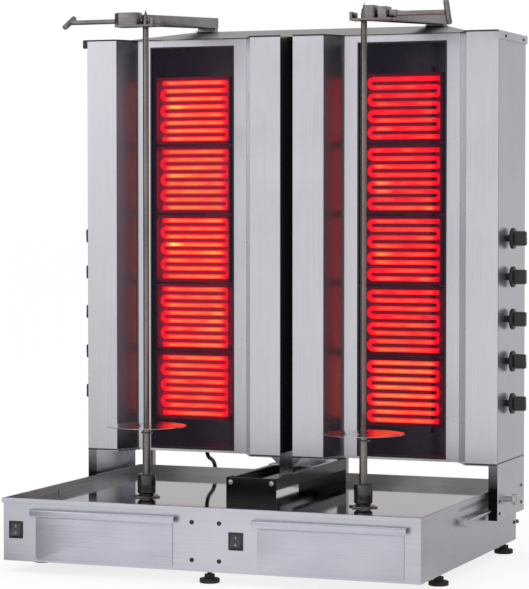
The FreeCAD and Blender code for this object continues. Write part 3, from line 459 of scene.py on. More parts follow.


# Where painted shade darkens the steel, its colours, and where the slanted sides are smoother
shades = {
    "bevels": (127.5, 156.0),  # where the slanted sides are, from a column's middle
    "bevelRough": 0.2,
    # painted shade on the left slanted sides
    "paintedBevelShade": (126, 122, 126),
    # painted shade on the carriages' front flanges
    "front": 1.5,  # behind the columns' front
    "frontLow": 155.0,
    "paintedFrontShade": (24, 22, 24),
    # painted shade on the inner faces of the base's rim
    "paintedInsideShade": (166, 163, 167),
}


# The columns' slanted sides are smoother, and the left ones darker with painted shade
def shadeBevels(tree, colour, sheen):
    inner, outer = shades["bevels"]
    x = tree.place().axes()[0]
    across = x - x.reckon("SIGN") * (layout["spitOut"] * mm)
    within = (abs(across) > inner * mm) * (abs(across) < outer * mm)
    colour = tree.mix(within * (across < 0.0), colour, tint(*shades["paintedBevelShade"]))
    return colour, sheen - within * (sheen - shades["bevelRough"])


# The carriages' front flanges get painted shade, deeper downwards, between column and tray
def shadeFront(tree, colour, sheen):
    _, y, z = tree.place().axes()
    ahead = y < (layout["columnFront"] + shades["front"]) * mm
    depth = z.spread(1.0, 0.6, shades["frontLow"] * mm, layout["columnBottom"] * mm)
    return tree.mix(ahead * depth, colour, tint(*shades["paintedFrontShade"])), sheen


# The inner faces of the base's rim get painted shade, dark against the bright tray
def shadeInside(tree, colour, sheen):
    x, y, z = tree.place().axes()
    sideways = (abs(x) < (layout["baseHalf"] - 0.7) * mm) * (y > (layout["frontFace"] + 0.7) * mm)
    upright = (z > (layout["trayTop"] - 1) * mm) * (z < (layout["baseTop"] - 0.4) * mm)
    return tree.mix(sideways * upright, colour, tint(*shades["paintedInsideShade"])), sheen


# Moulded plastic or rubber: a fine texture, slight sheen differences and dust
def plasticFinish(name, light, dark, rough, grain=900, bump=0.2):
    tree = newFinish(name)
    texture = tree.noise((grain, grain, grain), 2.0)
    clouds = tree.noise((60, 60, 60))
    tree.dress({"Base Color": tree.mix(clouds.spread(0.0, 1.0), tint(*dark), tint(*light)),
                "Roughness": clouds.spread(rough - 0.07, rough + 0.07),
                "Normal": tree.bump(texture, bump)})


# Dark ceramic glass that lets the glowing ribbons through
def glassFinish(name):
    tree = newFinish(name)
    smears = tree.noise((9, 9, 4), 4.0, 0.6)
    tree.dress({"Base Color": tree.mix(smears.spread(0.0, 1.0), tint(24, 18, 34), tint(30, 25, 44)),
                "Roughness": smears.spread(0.03, 0.10), "Specular IOR Level": 0.16, "Alpha": 0.6})


# All in metres; spots are (x, z, reach, extra heat), heats are (height, heat).
glow = {
    "zone": (0.272, 0.422),  # the lowest zone
    "bar": 0.0174,
    "core": (0.0020, 0.0050),  # off a bar's middle, where the heat fades
    "ends": (0.058, 0.074),
    "strength": 11.0,
    # where the painted glow on the boards fades, across and along each zone
    "boardAcross": (0.076, 0.088),
    "boardAlong": (0.060, 0.069),
    "between": 0.2,
    "paintedBoardGlowColour": (1.0, 0.015, 0.05, 1),
    "colours": [
        (0.0, (0.55, 0.0, 0.006, 1)), (0.15, (1.0, 0.006, 0.010, 1)), (0.45, (1.0, 0.10, 0.028, 1)),
        (0.72, (1.0, 0.21, 0.035, 1)), (1.0, (1.0, 0.55, 0.07, 1))],
    "heatRange": (0.25, 1.05),
    "left": {
        "paintedBoardGlow": 1.7,
        "heats": [(0.28, 0.34), (0.45, 0.38), (0.56, 0.40), (0.66, 0.44), (0.86, 0.47), (1.0, 0.50)],
        "spots": [(-0.284, 0.958, 0.024, 0.30), (-0.291, 0.806, 0.022, 0.42), (-0.294, 0.658, 0.024, 0.60),
                  (-0.200, 0.640, 0.030, 0.25), (-0.180, 0.508, 0.018, 0.45), (-0.192, 0.474, 0.026, 0.30)],
    },
    "right": {
        "paintedBoardGlow": 0.8,
        "heats": [(0.28, 0.44), (0.40, 0.54), (0.45, 0.29), (0.6, 0.24), (0.75, 0.22), (1.0, 0.18)],
        "spots": [(0.186, 0.785, 0.024, 0.45), (0.188, 0.638, 0.024, 0.45), (0.182, 0.822, 0.016, 0.25),
                  (0.287, 0.583, 0.014, 0.3), (0.296, 0.733, 0.014, 0.3), (0.303, 0.822, 0.012, 0.3),
                  (0.191, 0.905, 0.018, 0.25)],
    },
}


# A point's x and z, and how far it is off the column's middle and above its zone's middle
def zonePlace(tree, name):
    x, _, z = tree.place().axes()
    low, high = glow["zone"]
    out = abs(x - sides[name] * layout["spitOut"] * mm)
    return x, z, out, z.reckon("WRAP", high, low) - (low + high) / 2


# A glowing ribbon: red at its edges and ends, orange and yellow where it runs hottest
def glowFinish(name):
    tree = newFinish("glow" + name.capitalize())
    x, z, out, above = zonePlace(tree, name)
    low, high = glow["heatRange"]
    heats = [((height - low) / (high - low), heat) for height, heat in glow[name]["heats"]]
    heat = tree.ramp(z.spread(0.0, 1.0, low, high), greyStops(heats))
    for spotX, spotZ, reach, extra in glow[name]["spots"]:
        offX = (x - spotX) * 0.7
        offZ = z - spotZ
        away = (offX * offX + offZ * offZ).reckon("SQRT")
        heat = heat + away.spread(extra, 0.0, 0.0, reach)
    heat = heat + tree.noise((22, 1, 70), 1.5).spread(-0.14, 0.14)
    off = abs(above.reckon("WRAP", glow["bar"], 0.0) - glow["bar"] / 2)
    heat = heat * (off.spread(1.0, 0.0, *glow["core"]) * out.spread(1.0, 0.0, *glow["ends"]))
    tree.dress({"Base Color": tint(60, 20, 16), "Roughness": 0.7,
                "Emission Color": tree.ramp(heat, glow["colours"]), "Emission Strength": glow["strength"]})


# The boards behind the ribbons: a painted red glow for the ribbons' light on them, around each zone and
# fainter between the zones
def boardFinish(name):
    tree = newFinish("boards" + name.capitalize())
    _, _, out, above = zonePlace(tree, name)
    level = (out.spread(1.0, 0.0, *glow["boardAcross"])
             * abs(above).spread(1.0, glow["between"], *glow["boardAlong"]))
    tree.dress({"Base Color": tree.mix(tree.noise((30, 30, 30)), tint(58, 50, 66), tint(44, 38, 52)),
                "Roughness": 0.9, "Emission Color": tree.mix(level, (0, 0, 0, 1), glow["paintedBoardGlowColour"]),
                "Emission Strength": glow[name]["paintedBoardGlow"]})


upright = dict(grain=(420, 420, 4), bump=0.04)
drawn = dict(grain=(60, 60, 900), bump=0.15, rounding=0.0)

# Light and dark tones, roughness, then what differs from plain sheet
steels = {
    # the base steel, with painted shade on the inner faces of the rim
    "baseSteel": ((208, 208, 217), (193, 193, 202), 0.3, dict(bump=0.05, shade=shadeInside)),
    # the column steel, with painted shade on the left slanted sides
    "columnSteel": ((211, 210, 217), (198, 197, 205), 0.28, dict(upright, shade=shadeBevels)),
    # the column steel, with painted shade on the carriages' front flanges
    "carriageSteel": ((211, 210, 217), (198, 197, 205), 0.28, dict(upright, shade=shadeFront)),
    "railSteel": ((60, 56, 58), (46, 42, 44), 0.2, {}),
    "frameSteel": ((178, 174, 173), (160, 156, 155), 0.34, {}),
    "mirrorSteel": ((186, 183, 187), (172, 169, 174), 0.06,
                    dict(roughSpread=0.025, grain=(9, 300, 9), bump=0.02)),
    "brightSteel": ((206, 203, 202), (182, 179, 178), 0.2,
                    dict(grain=(90, 90, 500), bump=0.1, rounding=0.0)),
    "darkSteel": ((74, 72, 74), (50, 48, 50), 0.35, dict(grain=(200, 200, 200), rounding=0.0)),
    "spitSteel": ((146, 140, 137), (108, 103, 101), 0.2, drawn),
    "socketSteel": ((98, 94, 94), (66, 63, 63), 0.2, drawn),
    "discSteel": ((205, 200, 199), (184, 180, 178), 0.12,
                  dict(grain=(200, 200, 30), bump=0.06, rounding=0.0)),
    "drawerSteel": ((207, 207, 219), (188, 189, 201), 0.28,
                    dict(grain=(5, 5, 600), bump=0.2, rounding=0.5)),
    "holderSteel": ((152, 147, 146), (118, 114, 114), 0.28,
                    dict(grain=(30, 30, 300), cloud=(30, 30, 30), bump=0.1, rounding=0.0)),
}

# Light and dark tones, roughness, and where it differs the grain and the bump
plastics = {
    "motorPaint": ((78, 80, 84), (62, 64, 68), 0.5),
    "blackPlastic": ((34, 33, 35), (22, 21, 23), 0.38),
    "knobPlastic": ((30, 29, 30), (18, 17, 18), 0.3),
    "rockerPlastic": ((62, 60, 66), (48, 46, 52), 0.22),
    "footRubber": ((32, 31, 31), (20, 19, 19), 0.62, 400, 0.3),
    "cableSheath": ((30, 29, 30), (18, 17, 18), 0.42, 300, 0.15),
    "regulatorPlastic": ((96, 96, 100), (80, 80, 84), 0.5),
    "whiteMark": ((214, 214, 212), (190, 190, 188), 0.5),
    # painted shade in the gap between the columns
    "gapShadeSheet": ((26, 20, 22), (18, 14, 16), 0.7),
}

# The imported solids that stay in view: others have a piece modelled in their place.
nodeFinish = {
    "base_chassis": "baseSteel",
    "base_bottom": "baseSteel",
    "drip_tray": "mirrorSteel",
    "centre_rail": "railSteel",
    "rear_frame": "frameSteel",
    "roof_cover": "frameSteel",
    "spit_motors": "motorPaint",
    "arm_mounts": "holderSteel",
}

sideNodeFinish = {
    "column_shell": "columnSteel",
    "column_cap": "columnSteel",
    "back_panel": "columnSteel",
    "carriage": "carriageSteel",
    "heater_glass": "darkGlass",
    "heater_boards": "boards",
    "regulators": "regulatorPlastic",
}


def makeFinishes():
    for name, (light, dark, rough, other) in steels.items():
        steelFinish(name, light, dark, rough, **other)
    for name, values in plastics.items():
        plasticFinish(name, *values)
    glassFinish("darkGlass")
    for name in sides:
        glowFinish(name)
        boardFinish(name)


def dressNodes():
    for name, finish in nodeFinish.items():
        wear(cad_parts[name], finish)
    for side in sides:
        for stem, finish in sideNodeFinish.items():
            if finish == "boards":
                finish += side.capitalize()
            wear(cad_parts[f"{stem}_{side}"], finish)


# The cable between the connection box and the left column

cable = {
    "diameter": 0.009, "length": 0.1026,
    "route": [  # metres, from the gland up into the column
        (-0.2650, 0.3480, 0.1340),
        (-0.2650, 0.3480, 0.1436),
        (-0.2648, 0.3450, 0.1528),
        (-0.2646, 0.3395, 0.1604),
        (-0.2642, 0.3320, 0.1660),
        (-0.2636, 0.3190, 0.1710),
        (-0.2630, 0.3060, 0.1753),
        (-0.2626, 0.2985, 0.1808),
        (-0.2623, 0.2930, 0.1883),
        (-0.2621, 0.2900, 0.1973),
        (-0.2620, 0.2900, 0.2067),
    ],
    "bendStart": (-0.265, 0.345, 0.150),
    "bendEnd": (-0.262, 0.290, 0.204),
}


def makeCable():
    deselectAll()
    curve = bpy.data.curves.new("link_cable_tube", "CURVE")
    curve.dimensions = "3D"
    spline = curve.splines.new("NURBS")
    spline.points.add(len(cable["route"]) - 1)
    for point, place in zip(spline.points, cable["route"]):
        point.co = (*place, 1.0)
    spline.order_u = 3
    spline.use_endpoint_u = True
    curve.resolution_u = 12
    piece = addObject("link_cable_tube", curve)
    bpy.context.view_layer.update()
    line = bpy.data.meshes.new_from_object(piece)
    path = [tuple(vertex.co) for vertex in line.vertices]
    curve.bevel_depth = cable["diameter"] / 2
    curve.bevel_resolution = 6
    curve.use_fill_caps = True
    activate(piece)
    bpy.ops.object.convert(target="MESH")
    piece = bpy.context.object
    cleanUp(piece, 60)
    wear(piece, "cableSheath")
    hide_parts("link_cable")
    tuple(cable["bendStart"])
    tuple(cable["bendEnd"])
    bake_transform(piece)
    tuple(cable["route"][0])


# Feet

foot = {
    "places": [(0, -322, 0), (0, 306, 0), (430, -191, 0), (-430, -191, 0), (430, 276, 0), (-430, 276, 0)],
    "pad": [(18.4, 0), (20, 1.0), (20, 7.6), (19.2, 8.8), (17, 9.4), (10.4, 9.6)],
    "hub": [(10.2, 9.6), (10.2, 16.6), (9.2, 17.5)],
    "ridges": (36, 10.1, 16.9, 0.93, 5),
    "stud": [(3.9, 17.5), (3.9, 40.0)],
    "nut": [(7.4, 20.6), (7.4, 23.9)],
}


def makeFeet():
    pad = joinAll([turned(foot["pad"]), fluted(foot["hub"], *foot["ridges"])])
    finishPiece("foot_pads", repeat(pad, foot["places"]), "base", "foot_rubber", "footRubber",
                "levelling_feet")
    nut = soften(turned(foot["nut"], 6), 0.5)
    stud = joinAll([nut, turned(foot["stud"], 24)])
    finishPiece("foot_studs", repeat(stud, foot["places"]), "base", "bright_steel", "darkSteel")


# Drawers

drawer = {
    "shift": 19.8, "half": 150.0, "low": 28.0, "top": 132.0,
    "gap": 0.3, "sheet": 1.5, "corner": 6.0, "lipHalf": 157.5,
    "lipReach": 15.0, "lipTuck": 0.2, "lipTall": 15.0, "lipBend": 3.5,
    "lipRound": 5.0, "panHalf": 143.4, "panLow": 28.8, "panTall": 78.0,
    "panDeep": 175.0,
    "rivets": [(-126, 22, 1.3), (126, 22, 1.3), (0, 46, 0.9)],  # across, up, radius
}


def makeDrawer(name, side):
    d = drawer
    face = layout["frontFace"]
    centre = side * layout["spitOut"] + d["shift"]
    front = face - d["gap"]
    plate = block((centre - d["half"], front - d["sheet"], d["low"]),
                  (centre + d["half"], front, d["top"]))
    bevelSome(plate, "EDGE", lambda middle, way: abs(way.y) > 0.9 and middle.z < d["top"] / 2,
              d["corner"], 6)
    soften(plate, 0.35)
    pan = block((centre - d["panHalf"], front, d["panLow"]),
                (centre + d["panHalf"], face + d["panDeep"], d["panLow"] + d["panTall"]))
    thicken(dropFaces(pan, lambda middle, normal: normal.z > 0.9), d["sheet"])
    parts = [plate, makeLip(centre), soften(pan, 0.3)]
    for across, rise, radius in d["rivets"]:
        dot = turned([(radius, 0), (radius, 0.25), (radius * 0.6, 0.55)], 16)
        spot = (centre + across, front - d["sheet"], d["low"] + rise)
        parts.append(placeAt(dot, spot, towardFront))
    finishPiece("drawer_front_" + name, parts, f"drawer_{name}_body", "drawer_steel", "drawerSteel",
                f"drawer_{name}")


# The lip along a drawer's top: a sheet folded down in front, its loose corners rounded
def makeLip(centre):
    d = drawer
    back = layout["frontFace"] - d["gap"] - d["lipTuck"]
    out = layout["frontFace"] - d["lipReach"] + d["sheet"] / 2
    level = d["top"] - d["sheet"] / 2
    low = d["top"] - d["lipTall"]
    deselectAll()
    bpy.ops.mesh.primitive_plane_add(size=1, location=vec((centre, (back + out) / 2, level)))
    bpy.context.object.scale = (2 * d["lipHalf"] * mm, (back - out) * mm, 1)
    lip = settle()

    def isFold(middle, way):
        return middle.y < out + 0.01 and middle.z > level - 0.01

    pick(lip, "EDGE", isFold)
    pullOut((0, 0, (low - level) * mm))
    leaveEdit()
    bevelSome(lip, "EDGE", isFold, d["lipBend"], 5)
    bevelSome(lip, "VERT", lambda point: point.z < low + 0.01, d["lipRound"], 5)
    return soften(thicken(lip, d["sheet"], offset=0), 0.3)


# Rocker switches

switch = {
    "shift": -175.1, "height": 87.0, "wide": 30.3, "tall": 35.0,
    "proud": 2.0,
    "well": (22.6, 28.4),
    "wellDeep": 12.0, "edge": 0.7,
    "housing": (13.1, 15.4),  # half its width and height
    "housingSheet": 1.0, "deep": 24.0,
    "rocker": (22.0, 26.0),
    "endProud": 4.8, "dip": 1.7, "dipRound": 7.0, "back": 2.0,
    "tilt": -8.0, "markTall": 5.2, "markWide": 0.9, "markProud": 0.3,
    "markShift": 6.6, "ringShare": 0.42,
    "ringStretch": (0.8, 0.35, 1.1),
}


def makeSwitches():
    w = switch
    face = layout["frontFace"]
    halfWide, halfTall = w["housing"]

    def isFront(middle, normal):
        return normal.y < -0.9

    frames = []
    for side in sides.values():
        x = side * layout["spitOut"] + w["shift"]
        bezel = block((x - w["wide"] / 2, face - w["proud"], w["height"] - w["tall"] / 2),
                      (x + w["wide"] / 2, face, w["height"] + w["tall"] / 2))
        pick(bezel, "FACE", isFront)
        edge = (w["tall"] - w["well"][1]) / 2
        bpy.ops.mesh.inset(thickness=edge * mm)
        narrow = w["well"][0] / (w["wide"] - 2 * edge)
        bpy.ops.transform.resize(value=(narrow, 1, 1), center_override=vec((x, face, w["height"])))
        pullOut((0, w["wellDeep"] * mm, 0))
        leaveEdit()
        bevelSome(bezel, "EDGE", lambda middle, way: middle.y < face - w["proud"] / 2, w["edge"], 4)
        body = block((x - halfWide, face + 0.2, w["height"] - halfTall),
                     (x + halfWide, face + w["deep"], w["height"] + halfTall))
        frames += [bezel, soften(thicken(dropFaces(body, isFront), w["housingSheet"]), 0.4)]
    finishPiece("switch_frames", frames, "base", "black_plastic", "blackPlastic", "switch_bodies")
    for name, side in sides.items():
        makeRocker(name, side)


def makeRocker(name, side):
    w = switch
    wide, tall = w["rocker"]
    rocker = block((-wide / 2, -w["endProud"], -tall / 2), (wide / 2, w["back"], tall / 2))
    pickAll(rocker)
    bpy.ops.mesh.bisect(plane_co=(0, 0, 0), plane_no=(0, 0, 1))
    leaveEdit()
    pick(rocker, "EDGE", lambda middle, way: abs(way.x) > 0.9 and abs(middle.z) < 1 and middle.y < 0)
    bpy.ops.transform.translate(value=(0, w["dip"] * mm, 0))
    bpy.ops.mesh.bevel(offset=w["dipRound"] * mm, segments=8, affect="EDGES")
    leaveEdit()
    soften(rocker, 0.9, 4, 40)
    place = (side * layout["spitOut"] + w["shift"], layout["frontFace"] + w["back"], w["height"])
    lean = spun(w["tilt"], "X")
    placeAt(rocker, place, lean)
    body = f"rocker_{name}_body"
    finishPiece("rocker", [rocker], body, "rocker_plastic", "rockerPlastic", f"rocker_{name}")
    line = soften(block((-w["markWide"] / 2, -w["markProud"], -w["markTall"] / 2),
                        (w["markWide"] / 2, 0, w["markTall"] / 2)), 0.12)
    ring = hoop(w["markTall"] * w["ringShare"], w["markWide"] * w["ringShare"], 32, 8, turn=(90, 0, 0))
    scaleSome(ring, "VERT", lambda point: True, w["ringStretch"])
    slope = math.degrees(math.atan2(w["dip"], tall / 2))
    proud = -w["endProud"] + w["dip"] * 0.5
    marks = []
    for mark, end in ((line, 1), (ring, -1)):
        placeAt(mark, (0, proud, end * w["markShift"]), spun(end * slope, "X"))
        marks.append(placeAt(mark, place, lean))
    finishPiece("rocker_marks_" + name, marks, body, "rocker_plastic", "whiteMark")


# Screws

screws = {
    "head": 4.5, "headTall": 2.4,
    "dome": [(1, 0), (1, 0.35), (0.93, 0.66), (0.76, 0.88), (0.5, 1), (0.2, 1.03)],
    "shank": 1.9, "shankLong": 6.0,
    "cross": (0.9, 4.6),
    "crossDeep": 1.1,
    "spin": (17, 53),  # degrees of the first cross and from each to the next
    "panel": [(x, z) for x in (-29, 29) for z in (46, 120.5)],
    "rail": (45, -101, 173),
    "chassisSide": (314, 62),
    "chassisBack": [(300, 328, z) for z in (48, 128)],
    "post": [(x, 346, z) for x in (44, 440) for z in (60, 128)],
    "leg": [(120, 105), (120, 130), (288, 110), (288, 146)],
    "flange": [(142, 1090.5), (279, 1090.5)],
    "flangeProud": 4, "backOut": 213,
    "backLevels": (226, 442, 658, 874, 1080),
}


# A round-headed cross screw along +Z, its seat at the origin.
def screwModel(scale):
    v = screws
    r, h = v["head"] * scale, v["headTall"] * scale
    shank = v["shank"] * scale
    dome = [(r * share, rise * h) for share, rise in v["dome"]]
    head = turned([(shank, -v["shankLong"] * scale), (shank, 0), *dome], 32)
    wide, long = v["cross"][0] * scale / 2, v["cross"][1] * scale / 2
    for turn in (0, 90):
        cutter = block((-long, -wide, h - v["crossDeep"] * scale), (long, wide, h + 2))
        cutAway(head, placeAt(cutter, (0, 0, 0), spun(turn, "Z")))
    return head


# Screws at (place, direction) spots, each with its cross turned a little.
def screwRow(name, spots, body, finish, scale, *stands):
    master = screwModel(scale)
    first, step = screws["spin"]
    copies = []
    for index, (place, way) in enumerate(spots):
        aim = Vector(way).to_track_quat("Z", "Y").to_matrix()
        copies.append(placeAt(copyPiece(master), place, aim @ spun(first + step * index, "Z")))
    discard(master)
    finishPiece(name, copies, body, "bright_steel", finish, *stands)


def makeScrews():
    v = screws
    ahead, behind = (0, -1, 0), (0, 1, 0)
    panel = [((x, layout["frontFace"], z), ahead) for x, z in v["panel"]]
    screwRow("front_screws", panel, "base", "darkSteel", 1.0, "panel_screws")
    out, y, z = v["rail"]
    rail = [((side * out, y, z), ahead) for side in (-1, 1)]
    screwRow("rail_screws", rail, "base", "brightSteel", 1.25)
    rear = [((side * layout["baseHalf"], *v["chassisSide"]), (side, 0, 0)) for side in (-1, 1)]
    rear += [((side * x, y, z), behind) for side in (-1, 1) for x, y, z in v["chassisBack"]]
    screwRow("chassis_screws", rear, "base", "darkSteel", 0.9)
    posts = [((side * x, y, z), behind) for side in (-1, 1) for x, y, z in v["post"]]
    screwRow("post_screws", posts, "base", "brightSteel", 1.0)
    for name, side in sides.items():
        face = columnFace(side)
        outward = [((face, y, z), (side, 0, 0)) for y, z in v["leg"]]
        outward += [((face + side * v["flangeProud"], y, z), (side, 0, 0)) for y, z in v["flange"]]
        screwRow("column_screws_" + name, outward, "column_" + name, "darkSteel", 0.72)
        columns = [side * (layout["spitOut"] + way * v["backOut"]) for way in (-1, 1)]
        back = [((x, layout["columnBack"], z), behind) for x in columns for z in v["backLevels"]]
        screwRow("back_screws_" + name, back, "column_" + name, "brightSteel", 0.85)


# Guide rods and their nuts

rods = {
    "out": 452.0, "height": 112.0, "radius": 4.0,
    "tip": (3.2, 0.9),  # radius and length of a rod's ends
    "front": -112.0, "back": 329.5,
    "nutStarts": (-104, -94, 311, 321),
    "nutFlat": 6.5, "nutThick": 7.0,
}


def makeGuideRods():
    v = rods
    along = spun(-90, "X")
    long = v["back"] - v["front"]
    thin, tip = v["tip"]
    bar = turned([(thin, 0), (v["radius"], tip), (v["radius"], long - tip), (thin, long)], 32)
    ends = [(side * v["out"], v["front"], v["height"]) for side in (-1, 1)]
    finishPiece("guide_bars", repeat(bar, ends, along), "base", "bright_steel", "brightSteel", "guide_rods")
    corner = v["nutFlat"] / math.cos(math.pi / 6)
    thick = v["nutThick"]
    nut = turned([(corner * 0.9, 0), (corner, 0.8), (corner, thick - 0.8), (corner * 0.9, thick),
                  (v["radius"] + 0.6, thick), (v["radius"] + 0.2, thick - 0.6)], 6)
    starts = [(side * v["out"], start, v["height"]) for side in (-1, 1) for start in v["nutStarts"]]
    nuts = repeat(soften(nut, 0.3), starts, along)
    finishPiece("guide_nuts", nuts, "base", "bright_steel", "brightSteel", "rod_nuts")


# Spits: socket, star, rod, sleeve with its spring clip, disc

spit = {
    "socket": [(8, 95), (8, 135.8), (14, 135.8), (15, 136.8), (15, 139), (17.6, 141), (19, 142.8),
               (19, 150), (18.4, 150.6), (18.4, 152), (19, 152.6), (19, 178.2), (18.2, 180.2),
               (17.2, 181), (8.6, 181), (8.3, 180.4), (8.3, 178)],
    "ridges": (64, 152.8, 178, 0.985, 18),
    "rod": [(5.6, 150.3), (6.2, 151.2), (6.2, 1126.5), (5.7, 1128.2), (5.1, 1129.6), (5.4, 1131),
            (5.4, 1133), (3.6, 1136), (1.8, 1142), (0.35, 1147)],
    "sleeve": [(8.2, 181), (8.2, 277.4), (7.6, 278), (6.45, 278)],
    "clipHeight": 267.5, "clipRadius": 10.2, "clipWire": 1.5, "clipGap": 3.0,
    "ear": [(1.9, -1.5), (2.3, -1.1), (2.3, 1.1), (1.9, 1.5)],
    "earPlace": (11.6, 3.6),
    "disc": [(14, 278), (14, 280.1), (16.5, 280.5), (83.2, 280.5), (84, 281.1), (84, 281.5),
             (83.4, 282), (20, 282), (16, 282.6), (9, 282.6), (7, 282.2)],
    "star": (31.0, 21.0, 132.5, 3.0),  # outer and inner radius, level, thickness
    "starBolt": 17.5, "starBolts": 3,
}


def makeSpit(name, side):
    v = spit
    place = (side * layout["spitOut"], layout["spitBack"], 0)

    def mount(label, parts, slot, finish, node, smooth=35):
        piece = placeAt(joinAll(parts), place)
        finishPiece(f"spit_{label}_{name}", [piece], "spit_" + name, slot, finish, f"{node}_{name}",
                    smooth=smooth)

    mount("cup", [fluted(v["socket"], *v["ridges"])], "spit_steel", "socketSteel", "spit_socket")
    mount("bar", [turned(v["rod"], 40)], "spit_steel", "spitSteel", "spit_rod")
    tube = turned(v["sleeve"], 40)
    clip = hoop(v["clipRadius"], v["clipWire"], 48, 10, (0, 0, v["clipHeight"]))
    pick(clip, "FACE", lambda middle, normal: middle.x > 0 and abs(middle.y) < v["clipGap"])
    bpy.ops.mesh.delete(type="FACE")
    bpy.ops.mesh.select_all(action="SELECT")
    bpy.ops.mesh.fill_holes(sides=0)
    leaveEdit()
    x, y = v["earPlace"]
    ears = repeat(turned(v["ear"], 20), [(x, way * y, v["clipHeight"]) for way in (-1, 1)])
    mount("tube", [tube, clip, *ears], "spit_steel", "spitSteel", "spit_sleeve")
    mount("plate", [turned(v["disc"], 96)], "disc_steel", "discSteel", "meat_disc", 30)


def makeStars():
    outer, inner, low, thick = spit["star"]
    star = fluted([(outer, 0), (outer, thick)], 12, -1, thick + 1, inner / outer)
    parts = [soften(star, 0.8, 3)]
    bolt = turned([(2.2, thick - 0.4), (2.2, thick + 1.2), (1.6, thick + 1.6)], 6)
    angles = [math.radians(360 / spit["starBolts"] * (index + 0.5)) for index in range(spit["starBolts"])]
    reach = spit["starBolt"]
    parts += repeat(bolt, [(reach * math.cos(angle), reach * math.sin(angle), 0) for angle in angles])
    places = [(side * layout["spitOut"], layout["spitBack"], low) for side in (-1, 1)]
    stars = repeat(joinAll(parts), places)
    finishPiece("star_collars", stars, "base", "spit_steel", "spitSteel", "socket_stars")


# Glowing ribbons

ribbon = {
    "half": 83.0, "bars": 8, "pitch": 17.4, "wide": 10.0,
    "thick": 2.6,
    "end": 8.0,  # how far the first and last bars go on
    "depth": 171.2,  # front face of the ribbon
    "zones": (347, 497, 647, 797, 947),
    "pinOut": (-22, 14),
    "pin": [(0.9, 0), (0.9, 1.4), (0.45, 1.9)],
    "pinSeat": 0.3,
}


# One snaking ribbon, pulled and spun, then copied to each zone.
def makeRibbons(name, side):
    v = ribbon
    reach = v["half"] - v["pitch"] / 2 - v["wide"] / 2
    low = -v["pitch"] * (v["bars"] - 1) / 2
    start = -reach - v["end"]
    deselectAll()
    bpy.ops.mesh.primitive_plane_add(
        size=1, location=vec((start, v["depth"] + v["thick"] / 2, low)),
        rotation=(0, math.radians(-90), 0))
    bpy.context.object.scale = (v["wide"] * mm, v["thick"] * mm, 1)
    snake = settle()
    pickAll(snake)
    way = 1
    for bar in range(v["bars"]):
        isLast = bar == v["bars"] - 1
        end = way * (reach + v["end"] if isLast else reach)
        pullOut(((end - start) * mm, 0, 0))
        if not isLast:
            centre = vec((end, 0, low + (bar + 0.5) * v["pitch"]))
            bpy.ops.mesh.spin(steps=8, angle=math.radians(-180) * way, center=centre, axis=(0, -1, 0))
        start = end
        way = -way
    leaveEdit()
    if side > 0:
        activate(snake)
        snake.scale = (-1, 1, 1)
        settle()
    middle = side * layout["spitOut"]
    zones = repeat(soften(snake, 0.6, 2, 60), [(middle, 0, height) for height in v["zones"]])
    finishPiece("glow_ribbons_" + name, zones, "column_" + name, "glowing_ribbon",
                "glow" + name.capitalize(), f"heating_elements_{name}")
    spots = [(middle + out, v["depth"] + v["pinSeat"], height + low + bar * v["pitch"])
             for height in v["zones"] for bar in range(v["bars"]) for out in v["pinOut"]]
    pins = repeat(turned(v["pin"], 10), spots, towardFront)
    finishPiece("ribbon_pins_" + name, pins, "column_" + name, "insulation", "darkSteel")


# Knobs

knob = {
    "back": 180.0,
    "heights": (329, 417, 505, 593, 673),
    "spindle": [(3, -37.7), (3, 0.6), (7.2, 0.6), (7.2, 7.0)],
    "skirt": [(20.4, 6.8), (21.6, 7.4), (22, 8.4), (22, 12.0), (21.2, 13.4), (19.6, 14.2), (16, 14.8)],
    "grip": [(16.2, 14.2), (15.6, 15.6), (15.2, 36.4), (14.6, 37.9), (13, 38.5)],
    "gripHalf": 8.2, "gripLean": 0.06,
    "pointer": (0.7, 12.0, 38.3, 38.65),  # width, length, from and to level
    "spin": 4,
}


# One knob along +Z, then ten copies.
def makeKnobs():
    v = knob
    skirt = joinAll([turned(v["spindle"], 24), turned(v["skirt"], 56)])
    grip = turned(v["grip"], 48)
    for way in (-1, 1):
        pickAll(grip)
        bpy.ops.mesh.bisect(plane_co=(0, way * v["gripHalf"] * mm, 0), plane_no=(0, way, v["gripLean"]),
                            clear_outer=True, use_fill=True)
        leaveEdit()
    grip = joinAll([skirt, soften(grip, 0.9, 3, 40)])
    wide, long, low, high = v["pointer"]
    line = soften(block((-long - 1, -wide / 2, low), (-1, wide / 2, high)), 0.1)
    for name, side in sides.items():
        for number, height in enumerate(v["heights"], start=1):
            spot = f"{name}_{number}"
            place = (columnFace(side), v["back"], height)
            turn = facing(side) @ spun(side * v["spin"] * (number % 3 - 1), "Z")
            cap = placeAt(copyPiece(grip), place, turn)
            finishPiece("knob_cap_" + spot, [cap], f"knob_{spot}_body", "knob_plastic", "knobPlastic",
                        "knob_" + spot)
            mark = placeAt(copyPiece(line), place, turn)
            finishPiece("knob_line_" + spot, [mark], f"knob_{spot}_body", "knob_plastic", "whiteMark")
    discard(grip)
    discard(line)


# Thumb bolts

thumbBolt = {
    "start": 446.0, "back": 175.0, "height": 129.0,
    "shank": [(3.2, 0), (4, 0.8), (4, 19.15), (6, 19.15), (6, 30.6), (7, 31.15)],
    "head": [(10.2, 31.15), (11.5, 32.2), (11.5, 38.0), (10.4, 39.15), (6, 39.15), (5.4, 38.5)],
    "ridges": (48, 31.8, 38.4, 0.93, 9),
}


def makeThumbBolts():
    v = thumbBolt
    for name, side in sides.items():
        bolt = joinAll([turned(v["shank"], 32), fluted(v["head"], *v["ridges"])])
        placeAt(bolt, (side * v["start"], v["back"], v["height"]), facing(side))
        finishPiece("thumb_screw_" + name, [bolt], f"thumb_bolt_{name}_body", "bright_steel",
                    "brightSteel", f"thumb_bolt_{name}")


# Top holders

